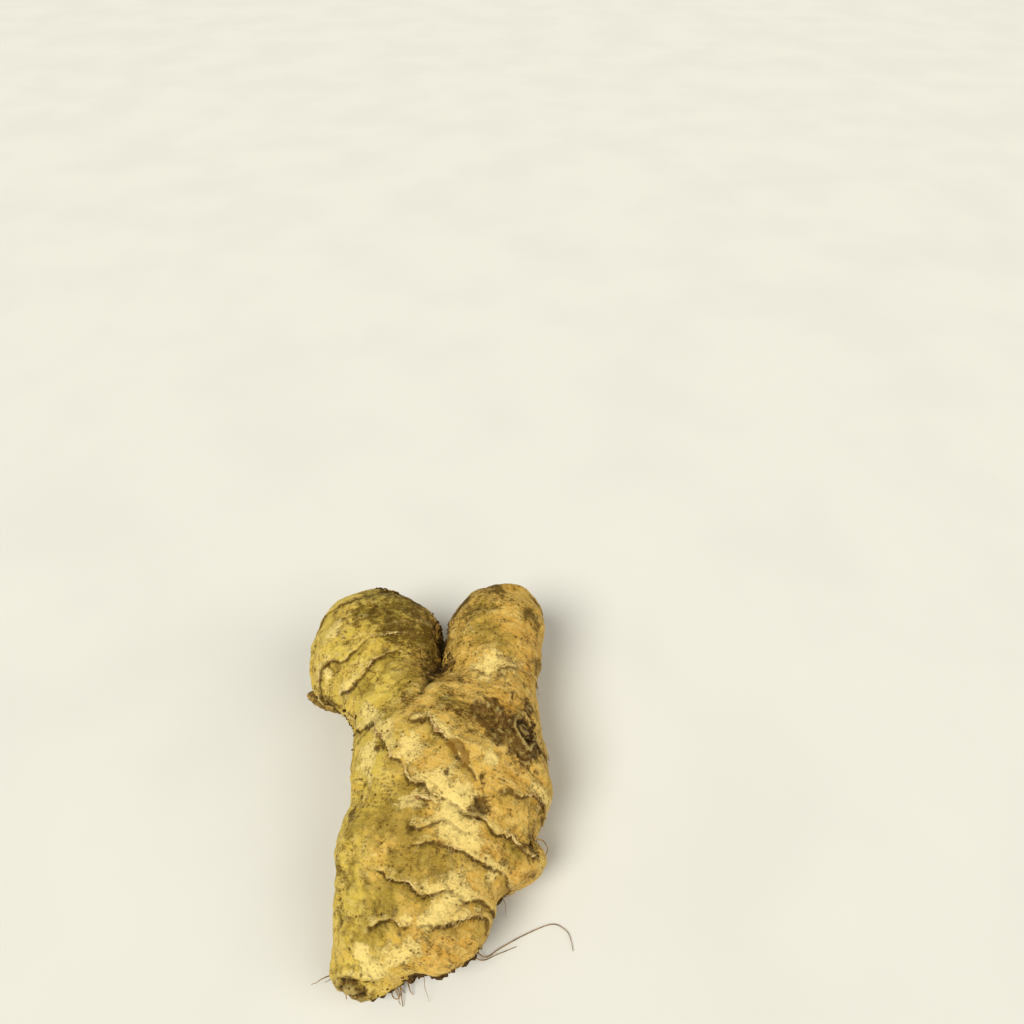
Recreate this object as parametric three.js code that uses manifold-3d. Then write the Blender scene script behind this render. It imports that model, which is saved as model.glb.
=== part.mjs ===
// A fresh ginger rhizome, lying on a table: one solid that grew in one piece.
//
// A broad old body carries two young lobes at its far end, a blunt finger on the right and a round
// knob on the left, and three small outgrowths: a shoulder and a heel on the right, and a nub at the
// near end. Growth rings, the scars of its leaf scales, cross it as low steps in the skin. Eyes, which
// are buds with a rim round them, sit at the finger's root and at the far ends of both lobes. Short
// root stubs stand on its flanks and underside.
//
// Millimetres. +X is right, +Y runs from the nub to the young lobes, +Z is up, and z = 0 is the table.
// The origin is the centre of the bounding box, on the table.

import * as THREE from "three";
import Module from "manifold-3d";

const { degToRad, lerp, smoothstep } = THREE.MathUtils;
const vector = (x, y, z) => new THREE.Vector3(x, y, z);

// ---------------------------------------------------------------- driving dimensions

const CELL = 2.16; // edge of the grid cells that the skin is woven on
const CELL_MARGIN = 0.04; // share of a cell that its vertex keeps clear of the neighbouring cells
const SETTLE_PASSES = 3; // moves that bring a woven vertex onto the skin
const SLOPE_STEP = 0.1; // distance to each side over which the field's slope is measured
const LEAST_SLOPE = 0.25; // squared slope below which a move grows no longer
const BLEND = 3; // how softly the swellings of one growth flow into each other
const CREASE = 1.2; // how softly the two growths meet in the crotch between them
const HOLLOW_EDGE = 0.8; // how softly a hollow's edge is rounded
const RING_RISE = 0.75; // height of the step at a growth ring
const RING_FADE = 4; // distance beyond a ring over which its step sinks back into the skin
const RING_LIP = 0.7; // width of the step's steep side
const EYE_RIM = 0.9; // height of the rim round an eye
const LUMP = 0.3; // height of the skin's gentle unevenness
const RELIEF_DEPTH = 6; // distance from the bare body beyond which its relief is left out
const STUBS = 12; // root stubs under the rhizome
const STUB_SEED = 15; // picks where they stand
const STUB_TRIES = 240; // places that are tried for them
const STUB_ROOT = 3.5; // how deep a stub is sunk into the body
const STUB_REACH = [1.5, 3]; // shortest and longest reach of a stub out of the skin
const STUB_THICK = [1.8, 2.8]; // thinnest and thickest stub
const STUB_DIP = [35, 65]; // least and greatest angle, in degrees, at which a stub points down
const STUB_GAP = 9; // least distance between the tips of two stubs
const STUB_RISE = 1.5; // height of the lowest stub's underside over the table

// ---------------------------------------------------------------- growths

// A swelling is an ellipsoid: its centre, its radii along X, Y and Z, and its turn about Z in degrees.
const swelling = (at, radii, turn = 0) => ({
  at: vector(...at),
  radii: vector(...radii),
  cos: Math.cos(degToRad(turn)),
  sin: Math.sin(degToRad(turn)),
});

const midBody = swelling([6.5, -9, 18.8], [21.5, 19, 14.6], -20);

// The old body from its nub at the near end to the tip of the finger.
const mainGrowth = [
  swelling([-11, -51.5, 6.8], [5.2, 5.2, 5.5]), // nub
  swelling([-5, -41, 11], [11.5, 13, 11]), // left of the toe
  swelling([7, -40.5, 12.5], [12, 12.5, 9.5]), // right of the toe
  swelling([1.5, -28, 16], [20, 14.5, 13.5]), // lower body
  midBody,
  swelling([22.5, -11, 15], [11, 12.5, 13.2]), // shoulder
  swelling([24.5, -28.5, 12], [7.5, 6, 7.5]), // heel
  swelling([3, 3, 18.5], [14, 14, 13.5]), // neck
  swelling([19.5, 7, 15.7], [12, 15, 15.7]), // root of the finger
  swelling([18.5, 29, 20], [13.5, 19.5, 13.5]), // finger
  swelling([24, 37.5, 19.5], [8.5, 10.5, 10.5]), // outer corner of its tip
];

// The younger growth that leaves the body to the left and ends in the knob.
const sideGrowth = [
  midBody,
  swelling([-8, 12, 18], [13, 13, 13], 25), // stem of the knob
  swelling([-16, 31, 17], [16.5, 18, 17.3], 30), // knob
  swelling([-21, 23, 16], [12, 10, 13]), // cheek of the knob
  swelling([-6.5, 31.5, 18], [8.5, 9, 12]), // its other cheek
];

const CROTCH = vector(5, 27, 20); // where the two growths part
const CROTCH_REACH = [8, 26]; // distances from it at which the join starts and ends growing soft

const hollows = [
  swelling([36, -24.5, 14], [6.5, 2, 8]), // notch between shoulder and heel
];

// ---------------------------------------------------------------- relief

// A growth ring lies in an upright plane through a point. Its line turns from +X by an angle in
// degrees, and the skin steps up on the side of the young lobes. It shows within its reach.
const ring = (at, turn, reach, rise = 1) => ({
  at: vector(...at),
  ahead: vector(-Math.sin(degToRad(turn)), Math.cos(degToRad(turn)), 0),
  reach,
  rise: rise * RING_RISE,
});

const rings = [
  ring([7.7, -45.9, 16], 5, 20),
  ring([7.5, -40.3, 20], -11, 17),
  ring([13.5, -33.7, 20], -12, 17),
  ring([8, -28.6, 29], -6, 9, 0.7),
  ring([15, -25.5, 22], -13, 20),
  ring([-5, -11, 20], -49, 24),
  ring([8.5, -10, 35], -42, 13, 1.2),
  ring([26.4, -18.9, 20], 4, 14),
  ring([28.5, -6, 20], 23, 11, 0.8),
  ring([19, 14, 18], 12, 19, 0.5),
  ring([20, 40, 16], 8, 18, 0.6),
  ring([-13.7, 15.3, 25], 32, 12, 0.8),
  ring([-18.3, 20.5, 18], 21, 22),
  ring([-22, 38, 16], 28, 20, 0.7),
];

// An eye is a bud in a shallow ring: where it sits, the rim's radius and the bud's height.
const eye = (at, radius, bud) => ({ at: vector(...at), radius, bud });

const eyes = [
  eye([28, -3.4, 29], 3.6, -0.9),
  eye([-27, 44, 15], 4.2, 1.6),
  eye([21, 48.5, 15], 4, 1.6),
  eye([-17, -13, 12], 3.6, 1.2),
];

// A groove runs straight from one point to another.
const grooves = [
  { from: vector(9.2, 18.5, 29), to: vector(12, 2, 33), width: 2, depth: 0.7 }, // beside the finger's root
  { from: vector(5.3, 22.5, 24), to: vector(3, 14.4, 29.5), width: 2.2, depth: 0.8 }, // on from the crotch
  { from: vector(3, 14.4, 29.5), to: vector(0.6, 6.4, 33.9), width: 2, depth: 1.3 },
  { from: vector(0.6, 6.4, 33.9), to: vector(-3.7, 1.6, 33.9), width: 1.8, depth: 0.8 },
];

// Wavers a ring's line to and fro, so that no ring is straight.
const waver = (p) => 0.9 * Math.sin(0.31 * p.x + 0.23 * p.z + 1) + 0.5 * Math.sin(0.74 * p.x - 0.41 * p.y);

// Height of a ring's step: nothing behind its line, full at it, sinking back with distance ahead.
function ringStep(p, r) {
  const ahead = vector().subVectors(p, r.at).dot(r.ahead) + waver(p);
  if (ahead < -RING_LIP) return 0;
  const near = 1 - smoothstep(p.distanceTo(r.at), 0.75 * r.reach, r.reach);
  return r.rise * near * smoothstep(ahead, -RING_LIP, 0) * Math.exp(-Math.max(ahead, 0) / RING_FADE);
}

// Height of an eye: a round rim, and the bud or the pit inside it.
function eyeRelief(p, e) {
  const off = p.distanceTo(e.at) / e.radius;
  return EYE_RIM * Math.exp(-(((off - 1) / 0.35) ** 2)) + e.bud * Math.exp(-((off / 0.6) ** 2));
}

function grooveDepth(p, g) {
  const line = new THREE.Line3(g.from, g.to);
  const off = p.distanceTo(line.closestPointToPoint(p, true, vector())) / g.width;
  return g.depth * Math.exp(-off * off);
}

// Gentle unevenness: waves of 12 to 20 mm along each direction.
const lumps = (p) =>
  LUMP * (Math.sin(0.42 * p.x + 0.3) * Math.sin(0.37 * p.y) + Math.sin(0.5 * p.z + 0.31 * p.x - 0.45 * p.y));

const total = (list) => list.reduce((sum, value) => sum + value, 0);

const relief = (p) =>
  lumps(p) +
  total(rings.map((r) => ringStep(p, r))) +
  total(eyes.map((e) => eyeRelief(p, e))) -
  total(grooves.map((g) => grooveDepth(p, g)));

// ---------------------------------------------------------------- the skin's field

// Signed distance to a swelling, good near its surface and negative inside.
function toSwelling(p, s) {
  const x = p.x - s.at.x;
  const y = p.y - s.at.y;
  const scaled = vector(x * s.cos + y * s.sin, y * s.cos - x * s.sin, p.z - s.at.z).divide(s.radii);
  const reach = scaled.length();
  return (reach * (reach - 1)) / scaled.divide(s.radii).length();
}

// Smooth union of distances: soft minimum, softer as blend grows.
function softMin(distances, blend) {
  const least = Math.min(...distances);
  return least - blend * Math.log(total(distances.map((d) => Math.exp((least - d) / blend))));
}

// Distance to the whole skin. The growths meet tightly in the crotch and softly away from it. What
// would reach below the table is cut flat at it, which gives the rhizome the flats that it rests on.
function field(p) {
  const main = softMin(mainGrowth.map((s) => toSwelling(p, s)), BLEND);
  const side = softMin(sideGrowth.map((s) => toSwelling(p, s)), BLEND);
  const away = smoothstep(p.distanceTo(CROTCH), ...CROTCH_REACH);
  const grown = softMin([main, side], lerp(CREASE, BLEND, away));
  const hollowed = -softMin([-grown, ...hollows.map((s) => toSwelling(p, s))], HOLLOW_EDGE);
  const skinned = Math.abs(hollowed) > RELIEF_DEPTH ? hollowed : hollowed - relief(p);
  return Math.max(skinned, -p.z);
}

// Slope of the field, by central differences.
function slope(p, step = SLOPE_STEP) {
  const along = (x, y, z) =>
    (field(vector(p.x + x, p.y + y, p.z + z)) - field(vector(p.x - x, p.y - y, p.z - z))) / (2 * step);
  return vector(along(step, 0, 0), along(0, step, 0), along(0, 0, step));
}

// ---------------------------------------------------------------- weaving the skin

const SPACE = new THREE.Box3(vector(-43.2, -64, -6), vector(42, 60, 44));
const AXES = [[1, 0, 0], [0, 1, 0], [0, 0, 1]];
const CORNERS = [0, 1, 2, 3, 4, 5, 6, 7].map((c) => [c & 1, (c >> 1) & 1, c >> 2]);
const EDGES = CORNERS.flatMap((a) =>
  AXES.filter((axis) => axis.every((step, n) => step + a[n] < 2)).map((axis) => [a, a.map((c, n) => c + axis[n])]));

// Surface net of the field: one vertex in each cell that the skin crosses, moved onto the skin, and
// one quad round each grid edge that it crosses.
function weaveSkin(box, cell) {
  const [nx, ny, nz] = box.getSize(vector()).divideScalar(cell).ceil().addScalar(1).toArray();
  const index = ([i, j, k]) => i + nx * (j + ny * k);
  const place = (ijk) => vector(...ijk).multiplyScalar(cell).add(box.min);
  const plus = (a, b, scale = 1) => a.map((value, n) => value + scale * b[n]);

  const points = [];
  for (let k = 0; k < nz; k++) {
    for (let j = 0; j < ny; j++) {
      for (let i = 0; i < nx; i++) points.push([i, j, k]);
    }
  }
  const values = points.map((ijk) => field(place(ijk)));
  const value = (ijk) => values[index(ijk)];
  const crossed = (a, b) => value(a) < 0 !== value(b) < 0;

  const positions = [];
  const vertexOf = new Map();
  for (const ijk of points) {
    if (ijk[0] === nx - 1 || ijk[1] === ny - 1 || ijk[2] === nz - 1) continue;
    const cuts = EDGES.map(([a, b]) => [plus(ijk, a), plus(ijk, b)]).filter(([a, b]) => crossed(a, b));
    if (!cuts.length) continue;
    const vertex = vector();
    for (const [a, b] of cuts) vertex.add(place(a).lerp(place(b), value(a) / (value(a) - value(b))));
    vertex.divideScalar(cuts.length);
    const least = place(ijk).addScalar(CELL_MARGIN * cell);
    const most = place(ijk).addScalar((1 - CELL_MARGIN) * cell);
    for (let pass = 0; pass < SETTLE_PASSES; pass++) {
      const g = slope(vertex);
      vertex.addScaledVector(g, -field(vertex) / Math.max(g.lengthSq(), LEAST_SLOPE));
    }
    vertex.clamp(least, most);
    vertexOf.set(index(ijk), positions.length / 3);
    positions.push(vertex.x, vertex.y, Math.max(vertex.z, 0));
  }

  const triangles = [];
  const at = (v) => vector().fromArray(positions, 3 * v);
  const quad = (a, b, c, d) => {
    const alongAC = at(a).distanceToSquared(at(c)) < at(b).distanceToSquared(at(d));
    triangles.push(...(alongAC ? [a, b, c, a, c, d] : [a, b, d, b, c, d]));
  };
  for (const ijk of points) {
    AXES.forEach((axis, n) => {
      const next = plus(ijk, axis);
      if (Math.min(...ijk) < 1 || next[0] >= nx || next[1] >= ny || next[2] >= nz) return;
      if (!crossed(ijk, next)) return;
      const [u, v] = [AXES[(n + 1) % 3], AXES[(n + 2) % 3]];
      const cells = [ijk, plus(ijk, u, -1), plus(plus(ijk, u, -1), v, -1), plus(ijk, v, -1)];
      const round = cells.map((cellAt) => vertexOf.get(index(cellAt)));
      quad(...(value(ijk) < 0 ? round : round.reverse()));
    });
  }
  return { positions, triangles };
}

// ---------------------------------------------------------------- root stubs

// Seeded draws between 0 and 1.
function dice(seed) {
  let state = seed;
  return () => {
    state = (Math.imul(state, 1664525) + 1013904223) >>> 0;
    return state / 4294967296;
  };
}

// A root stub is a six-sided tube that tapers along a gentle bow from its sunk root to its cut end.
function rootStub(from, to, thick, bow) {
  const sides = 6;
  const middle = from.clone().lerp(to, 0.6).add(bow);
  const path = new THREE.QuadraticBezierCurve3(from, middle, to);
  const steps = 4;
  const frames = path.computeFrenetFrames(steps, false);
  const positions = [];
  for (let s = 0; s <= steps; s++) {
    const radius = thick * lerp(0.5, 0.3, s / steps);
    for (let m = 0; m < sides; m++) {
      const angle = (2 * Math.PI * m) / sides;
      path.getPointAt(s / steps)
        .addScaledVector(frames.normals[s], radius * Math.cos(angle))
        .addScaledVector(frames.binormals[s], radius * Math.sin(angle))
        .toArray(positions, positions.length);
    }
  }
  const root = positions.length / 3;
  from.toArray(positions, positions.length);
  to.toArray(positions, positions.length);
  const triangles = [];
  for (let m = 0; m < sides; m++) {
    const next = (m + 1) % sides;
    for (let s = 0; s < steps; s++) {
      const [a, b] = [s * sides + m, s * sides + next];
      triangles.push(a, b, b + sides, a, b + sides, a + sides);
    }
    triangles.push(root, next, m, root + 1, steps * sides + m, steps * sides + next);
  }
  return { positions, triangles };
}

// The point where a straight line from inside first leaves the skin.
function leaveSkin(from, direction) {
  const step = 0.25;
  const p = from.clone().addScaledVector(direction, step);
  while (field(p) < 0) p.addScaledVector(direction, step);
  return p;
}

// Stubs under the rhizome: each leaves a random swelling sideways and down, and stays off the table.
function scatterStubs() {
  const draw = dice(STUB_SEED);
  const grown = [...mainGrowth.slice(2, 10), ...sideGrowth.slice(1, 4)];
  const stubs = [];
  for (let tries = 0; tries < STUB_TRIES && stubs.length < STUBS; tries++) {
    const start = grown[Math.floor(draw() * grown.length)].at;
    const [round, down] = [2 * Math.PI * draw(), degToRad(lerp(...STUB_DIP, draw()))];
    const way = vector(Math.cos(round) * Math.cos(down), Math.sin(round) * Math.cos(down), -Math.sin(down));
    const skinAt = leaveSkin(start, way);
    const tip = skinAt.clone().addScaledVector(way, lerp(...STUB_REACH, draw()));
    const thick = lerp(...STUB_THICK, draw());
    const bow = vector(draw() - 0.5, draw() - 0.5, 0);
    const crowded = stubs.some((s) => s.tip.distanceTo(tip) < STUB_GAP);
    if (tip.z < STUB_RISE + thick / 2 || crowded) continue;
    const root = skinAt.clone().addScaledVector(way, -STUB_ROOT);
    stubs.push({ tip, body: rootStub(root, tip, thick, bow) });
  }
  return stubs.map((s) => s.body);
}

const leftStub = rootStub(vector(-26, 15, 11), vector(-35.5, 21, 8.5), 3.2, vector(-0.5, -1.2, -1));

// ---------------------------------------------------------------- the rhizome

const wasm = await Module();
wasm.setup();

const solid = ({ positions, triangles }) =>
  new wasm.Manifold(new wasm.Mesh({
    numProp: 3,
    vertProperties: new Float32Array(positions),
    triVerts: new Uint32Array(triangles),
  }));

const grown = [leftStub, ...scatterStubs()]
  .map(solid)
  .reduce((whole, stub) => whole.add(stub), solid(weaveSkin(SPACE, CELL)));

const woven = grown.getMesh();
const geometry = new THREE.BufferGeometry();
geometry.setAttribute("position", new THREE.BufferAttribute(new Float32Array(woven.vertProperties), 3));
geometry.setIndex(new THREE.BufferAttribute(new Uint32Array(woven.triVerts), 1));
geometry.computeBoundingBox();
const middle = geometry.boundingBox.getCenter(vector());
geometry.translate(-middle.x, -middle.y, 0);

const skin = new THREE.MeshStandardMaterial({ color: 0xc9a659, roughness: 0.75, metalness: 0 });
const rhizome = new THREE.Mesh(geometry, skin);
rhizome.name = "rhizome";

const ginger = new THREE.Group();
ginger.add(rhizome);
export default ginger;
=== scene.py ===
"""Ginger rhizome: the skin, scale edges, roots and soil of one fresh root on a studio floor.

Shapes are worked out in millimetres in the growth frame, where the rhizome's own numbers are
whole, and moved to the frame's place and to metres when a mesh is made.
"""

import math

import bpy
import numpy as np
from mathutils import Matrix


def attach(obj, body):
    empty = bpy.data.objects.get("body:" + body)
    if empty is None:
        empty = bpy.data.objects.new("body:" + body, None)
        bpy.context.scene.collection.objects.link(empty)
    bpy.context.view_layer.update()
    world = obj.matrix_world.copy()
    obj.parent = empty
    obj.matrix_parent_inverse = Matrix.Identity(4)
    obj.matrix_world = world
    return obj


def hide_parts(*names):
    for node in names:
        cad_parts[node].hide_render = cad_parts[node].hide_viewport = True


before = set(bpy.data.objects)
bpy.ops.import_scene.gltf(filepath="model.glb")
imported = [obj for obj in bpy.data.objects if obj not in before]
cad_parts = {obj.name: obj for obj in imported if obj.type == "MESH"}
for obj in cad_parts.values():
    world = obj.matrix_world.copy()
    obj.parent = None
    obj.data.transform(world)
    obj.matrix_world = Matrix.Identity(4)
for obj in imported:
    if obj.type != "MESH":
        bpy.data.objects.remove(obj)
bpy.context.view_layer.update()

bl_info = {
    "name": "Ginger rhizome",
    "version": (1, 0, 0),
    "blender": (4, 5, 0),
    "location": "3D View > Sidebar > Ginger",
    "description": "Skin, scale edges, roots and soil of a ginger rhizome on a studio floor",
    "category": "Object",
}

MM = 0.001
CENTRING = np.array([0.757, 3.36, 0.0])  # from the growth frame to the middle of the bounding box


# ---------------------------------------------------------------- settings

def length(name, description, millimetres):
    """A property that is a length."""
    return bpy.props.FloatProperty(
        name=name, description=description, default=millimetres * MM, min=0.0, unit="LENGTH")


def colour(name, description, value):
    """A property that is a colour, given as sRGB from 0 to 255."""
    return bpy.props.FloatVectorProperty(
        name=name, description=description, default=[linear(part) for part in value],
        size=3, min=0.0, max=1.0, subtype="COLOR")


def linear(part):
    """One sRGB channel from 0 to 255 as a linear value: the usual piecewise power of 2.4."""
    share = part / 255.0
    return share / 12.92 if share <= 0.04045 else ((share + 0.055) / 1.055) ** 2.4


class GingerSkin(bpy.types.PropertyGroup):
    """Sizes and colours of the skin."""
    weave: length("Weave", "Edge of the cells that the skin is woven on", 0.53)
    ring_rise: length("Ring rise", "Height of the step at a growth ring", 0.75)
    ring_fade: length("Ring fade", "Distance over which a ring's step sinks back", 4.0)
    lump: length("Lumps", "Height of the gentle unevenness", 0.3)
    uneven: length("Uneven", "Height of the dents and folds", 0.5)
    pit: length("Pits", "Depth of the small pits", 0.32)
    buff: colour("Buff", "Most of the skin", (212, 171, 80))
    ochre: colour("Ochre", "Warmer patches", (190, 139, 50))
    straw: colour("Straw", "Yellower patches", (208, 185, 77))
    # Also paints highlights on raised edges and on a few bright spots.
    pale: colour("Pale", "Dry, corky skin", (241, 216, 134))
    olive: colour("Olive", "Damp stain", (146, 121, 42))
    # Also paints shade on the knob's top and right side and on the finger's top and right side.
    grime_and_shade: colour("Grime", "Film of dry earth", (88, 66, 14))
    umber: colour("Umber", "Scars, pits and ring lines", (84, 54, 15))
    spot: colour("Spot", "Smooth rubbed spots", (138, 99, 34))
    # Also paints shade in the crease between the growths, low near the table and in the dips.
    earth_and_shade: colour("Earth", "Soil rubbed into creases", (48, 36, 17))


class GingerRoots(bpy.types.PropertyGroup):
    """Sizes and colours of root stubs and rootlets."""
    stubs: bpy.props.IntProperty(
        name="Stubs", description="Root stubs under the rhizome", default=12, min=0)
    stub_root: length("Sunk root", "How deep a stub is sunk into the body", 3.5)
    rootlet: length("Rootlet", "Thickness of a rootlet", 0.4)
    bark: colour("Bark", "Side of a stub", (112, 86, 36))
    cork: colour("Cork", "Torn end of a stub", (178, 147, 72))
    thread: colour("Thread", "Dry rootlets", (158, 120, 62))


class GingerScales(bpy.types.PropertyGroup):
    """Sizes and colours of the papery edges along the rings."""
    width: length("Width", "Widest reach of a scale's edge", 1.1)
    thickness: length("Thickness", "Thickness of the papery edge", 0.14)
    paper: colour("Paper", "Dry scale", (216, 188, 122))
    frayed: colour("Frayed", "Frayed rim of a scale", (150, 112, 58))


class GingerSoil(bpy.types.PropertyGroup):
    """Sizes and colour of the soil crumbs."""
    crumbs: bpy.props.IntProperty(
        name="Crumbs", description="Crumbs of soil on the skin", default=4600, min=0)
    size: length("Size", "Largest crumb", 1.35)
    wet: colour("Dark", "Dark side of the soil", (52, 37, 18))
    dry: colour("Dry", "Dry side of the soil", (112, 84, 44))


class GingerStage(bpy.types.PropertyGroup):
    """Camera, light and floor."""
    camera_at: bpy.props.FloatVectorProperty(
        name="Camera", description="Where the camera stands", default=(0.02506, -0.10314, 0.205),
        size=3, subtype="TRANSLATION", unit="LENGTH")
    pitch: bpy.props.FloatProperty(
        name="Pitch", description="How far the camera looks down", default=math.radians(43.7),
        unit="ROTATION")
    focal: bpy.props.FloatProperty(
        name="Focal length", description="Lens in millimetres", default=27.04, min=1.0)
    key_power: bpy.props.FloatProperty(
        name="Key", description="Strength of the key light in watts per square metre", default=2.7,
        min=0.0)
    fill_share: bpy.props.FloatProperty(
        name="Fill", description="Strength of the fill light, as a share of the key's", default=0.46,
        min=0.0)
    key_spread: bpy.props.FloatProperty(
        name="Key spread", description="Angle over which the key light's rays spread",
        default=math.radians(33.0), min=0.0, unit="ROTATION")
    fill_spread: bpy.props.FloatProperty(
        name="Fill spread", description="Angle over which the fill light's rays spread",
        default=math.radians(50.0), min=0.0, unit="ROTATION")
    world: bpy.props.FloatProperty(
        name="World", description="Strength of the even light", default=0.27, min=0.0)
    half_floor: length("Floor reach", "Distance from the middle of the floor to its sides", 4000)
    floor: colour("Floor", "Colour of the floor", (226, 225, 218))


# ---------------------------------------------------------------- growths

def swelling(at, radii, turn=0.0):
    """An ellipsoid: its centre, its radii along X, Y and Z, and its turn about Z in degrees."""
    return at, radii, math.cos(math.radians(turn)), math.sin(math.radians(turn))


MID_BODY = swelling((6.5, -9, 18.8), (21.5, 19, 14.6), -20)

# The old body from its nub at the near end to the tip of the finger.
MAIN_GROWTH = [
    swelling((-11, -51.5, 6.8), (5.2, 5.2, 5.5)),
    swelling((-5, -41, 11), (11.5, 13, 11)),
    swelling((7, -40.5, 12.5), (12, 12.5, 9.5)),
    swelling((1.5, -28, 16), (20, 14.5, 13.5)),
    MID_BODY,
    swelling((22.5, -11, 15), (11, 12.5, 13.2)),
    swelling((24.5, -28.5, 12), (7.5, 6, 7.5)),
    swelling((3, 3, 18.5), (14, 14, 13.5)),
    swelling((19.5, 7, 15.7), (12, 15, 15.7)),
    swelling((18.5, 29, 20), (13.5, 19.5, 13.5)),
    swelling((24, 37.5, 19.5), (8.5, 10.5, 10.5)),
]

# The younger growth that leaves the body to the left and ends in the knob.
SIDE_GROWTH = [
    MID_BODY,
    swelling((-8, 12, 18), (13, 13, 13), 25),
    swelling((-16, 31, 17), (16.5, 18, 17.3), 30),
    swelling((-21, 23, 16), (12, 10, 13)),
    swelling((-6.5, 31.5, 18), (8.5, 9, 12)),
]

HOLLOWS = [swelling((36, -24.5, 14), (6.5, 2, 8))]
CROTCH = np.array([5.0, 27, 20])  # where the two growths part
CROTCH_REACH = (8.0, 26.0)  # distances from it at which the join starts and ends growing soft
BLEND = 3.0  # how softly the swellings of one growth flow into each other
CREASE = 1.0  # how softly the two growths meet in the crotch
HOLLOW_EDGE = 0.8
NUB = np.array([-11.0, -54.0, 8.0])  # the old break at the near end, where the skin is scabby
NUB_REACH = 7.0
RUBBED = np.array([11.8, -13.6, 35.2])  # a smooth rubbed spot, where the scale's edge is gone
RUBBED_REACH = 3.2
SPACE_LOW = np.array([-40.0, -61, -2])  # corners of the box that the skin is woven in
SPACE_HIGH = np.array([40.0, 55, 40])
CELL_MARGIN = 0.04  # share of a cell that its point keeps clear of the neighbouring cells
LEAST_SLOPE = 0.25  # squared slope below which a move onto the body grows no longer

# Places where soil clings, and how far each reaches: in lumps low at the near end, and in crumbs.
LUMPY_SOIL = [
    ((-8.5, -57.5, 4), 2.5), ((-5, -55, 3), 4), ((1, -53, 3), 4), ((7, -51, 4), 5), ((12, -48, 4), 4),
    ((17, -43, 5), 4), ((20, -37, 6), 4), ((3, -54.6, 9), 3), ((9, -53.4, 10), 3), ((15, -49.5, 9), 3),
]
CRUMBLY_SOIL = [
    ((31, -28, 17), 2.6), ((4.5, 20, 22), 6), ((-28, 14, 12), 5), ((29, -4, 26), 4),
    ((-12, 46, 27), 4), ((3, 34, 20), 5), ((-22, 2, 18), 5),
]
LUMP_GAIN = 1.1  # how much larger than a crumb a lump is
SMALL_CRUMB = 0.45  # size below which a crumb has few faces

# The middle lines of the two growths, which the grain of the skin follows.
MAIN_LINE = [
    (-11, -56, 8), (-3, -42, 12), (2, -28, 16), (8, -9, 18), (16, 10, 18), (19, 30, 19), (21, 50, 19),
]
SIDE_LINE = [(8, -9, 18), (-4, 6, 18), (-13, 22, 17), (-18, 36, 17), (-22, 50, 17)]
BODY_RADIUS = 15.0  # a growth's usual radius, which turns directions round it into lengths
SIDE_GRAIN_SHIFT = 90.0  # keeps the grain of the side growth unlike the main one's


def ring(at, turn, reach, rise=1.0):
    """A growth ring: a point on its plane, the turn of its line from +X, its reach and its height."""
    ahead = np.array([-math.sin(math.radians(turn)), math.cos(math.radians(turn)), 0.0])
    return np.array(at, float), ahead, reach, rise


RINGS = [
    ring((7.7, -45.9, 16), 5, 20),
    ring((7.5, -40.3, 20), -11, 17),
    ring((13.5, -33.7, 20), -12, 17),
    ring((8, -28.6, 29), -6, 9, 0.7),
    ring((15, -25.5, 22), -13, 20),
    ring((-5, -11, 20), -49, 24),
    ring((8.5, -10.0, 35), -42, 13, 1.5),
    ring((26.4, -18.9, 20), 4, 14),
    ring((28.5, -6, 20), 23, 11, 0.8),
    ring((19, 14, 18), 12, 19, 0.5),
    ring((20, 40, 16), 8, 18, 0.6),
    ring((-13.7, 15.3, 25), 32, 12, 0.8),
    ring((-18.3, 20.5, 18), 21, 22),
    ring((-22, 38, 16), 28, 20, 0.7),
]
RING_LIP = 0.45  # width of a step's steep side
DAMP_BAND = (-4.5, -0.3, 0.1)  # distances from a ring's line where the damp band starts, is full, ends
DRY_LIP = (0.0, 0.4, 0.8, 3.6)  # where the dry lip starts, is full, starts to fade, and ends
WRINKLE_TURNS = 3.41  # radians of a wrinkle's wave per millimetre away from an eye
WRINKLE_REACH = 11.0
WRINKLE_RISE = 0.1
EYE_REACH = 4.5  # how far scarred and dirty skin reaches round an eye
PIT_SPACING = 2.2
SEAM_WIDTH = 1.1  # of the dirt and painted shade in the crease between the two growths
SEAM_REACH = (14, 30)  # distances from the crotch at which that dirt and shade start and stop fading
DIRT_AND_SHADE_HEIGHT = (1.5, 9.0)  # heights over the table between which rubbed-in dirt and painted shade fade

# An eye: where it sits, its radius, the height of its bud, and how long it is along Y.
EYES = [
    ((28.0, -3.0, 29.0), 2.3, 0.3, 1.35),
    ((-27, 44, 15), 4.2, 1.6, 1.0),
    ((21, 48.5, 15), 4.0, 1.6, 1.0),
    ((-17, -13, 12), 3.6, 1.2, 1.0),
    ((-11.4, -55.8, 10.0), 2.6, 0.7, 0.9),
]

# Waves round an eye's bud: how many of its radii away, how wide, and how high.
EYE_WAVES = [(1.0, 0.28, -0.7), (1.55, 0.3, 0.4), (2.1, 0.3, -0.25)]

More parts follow.
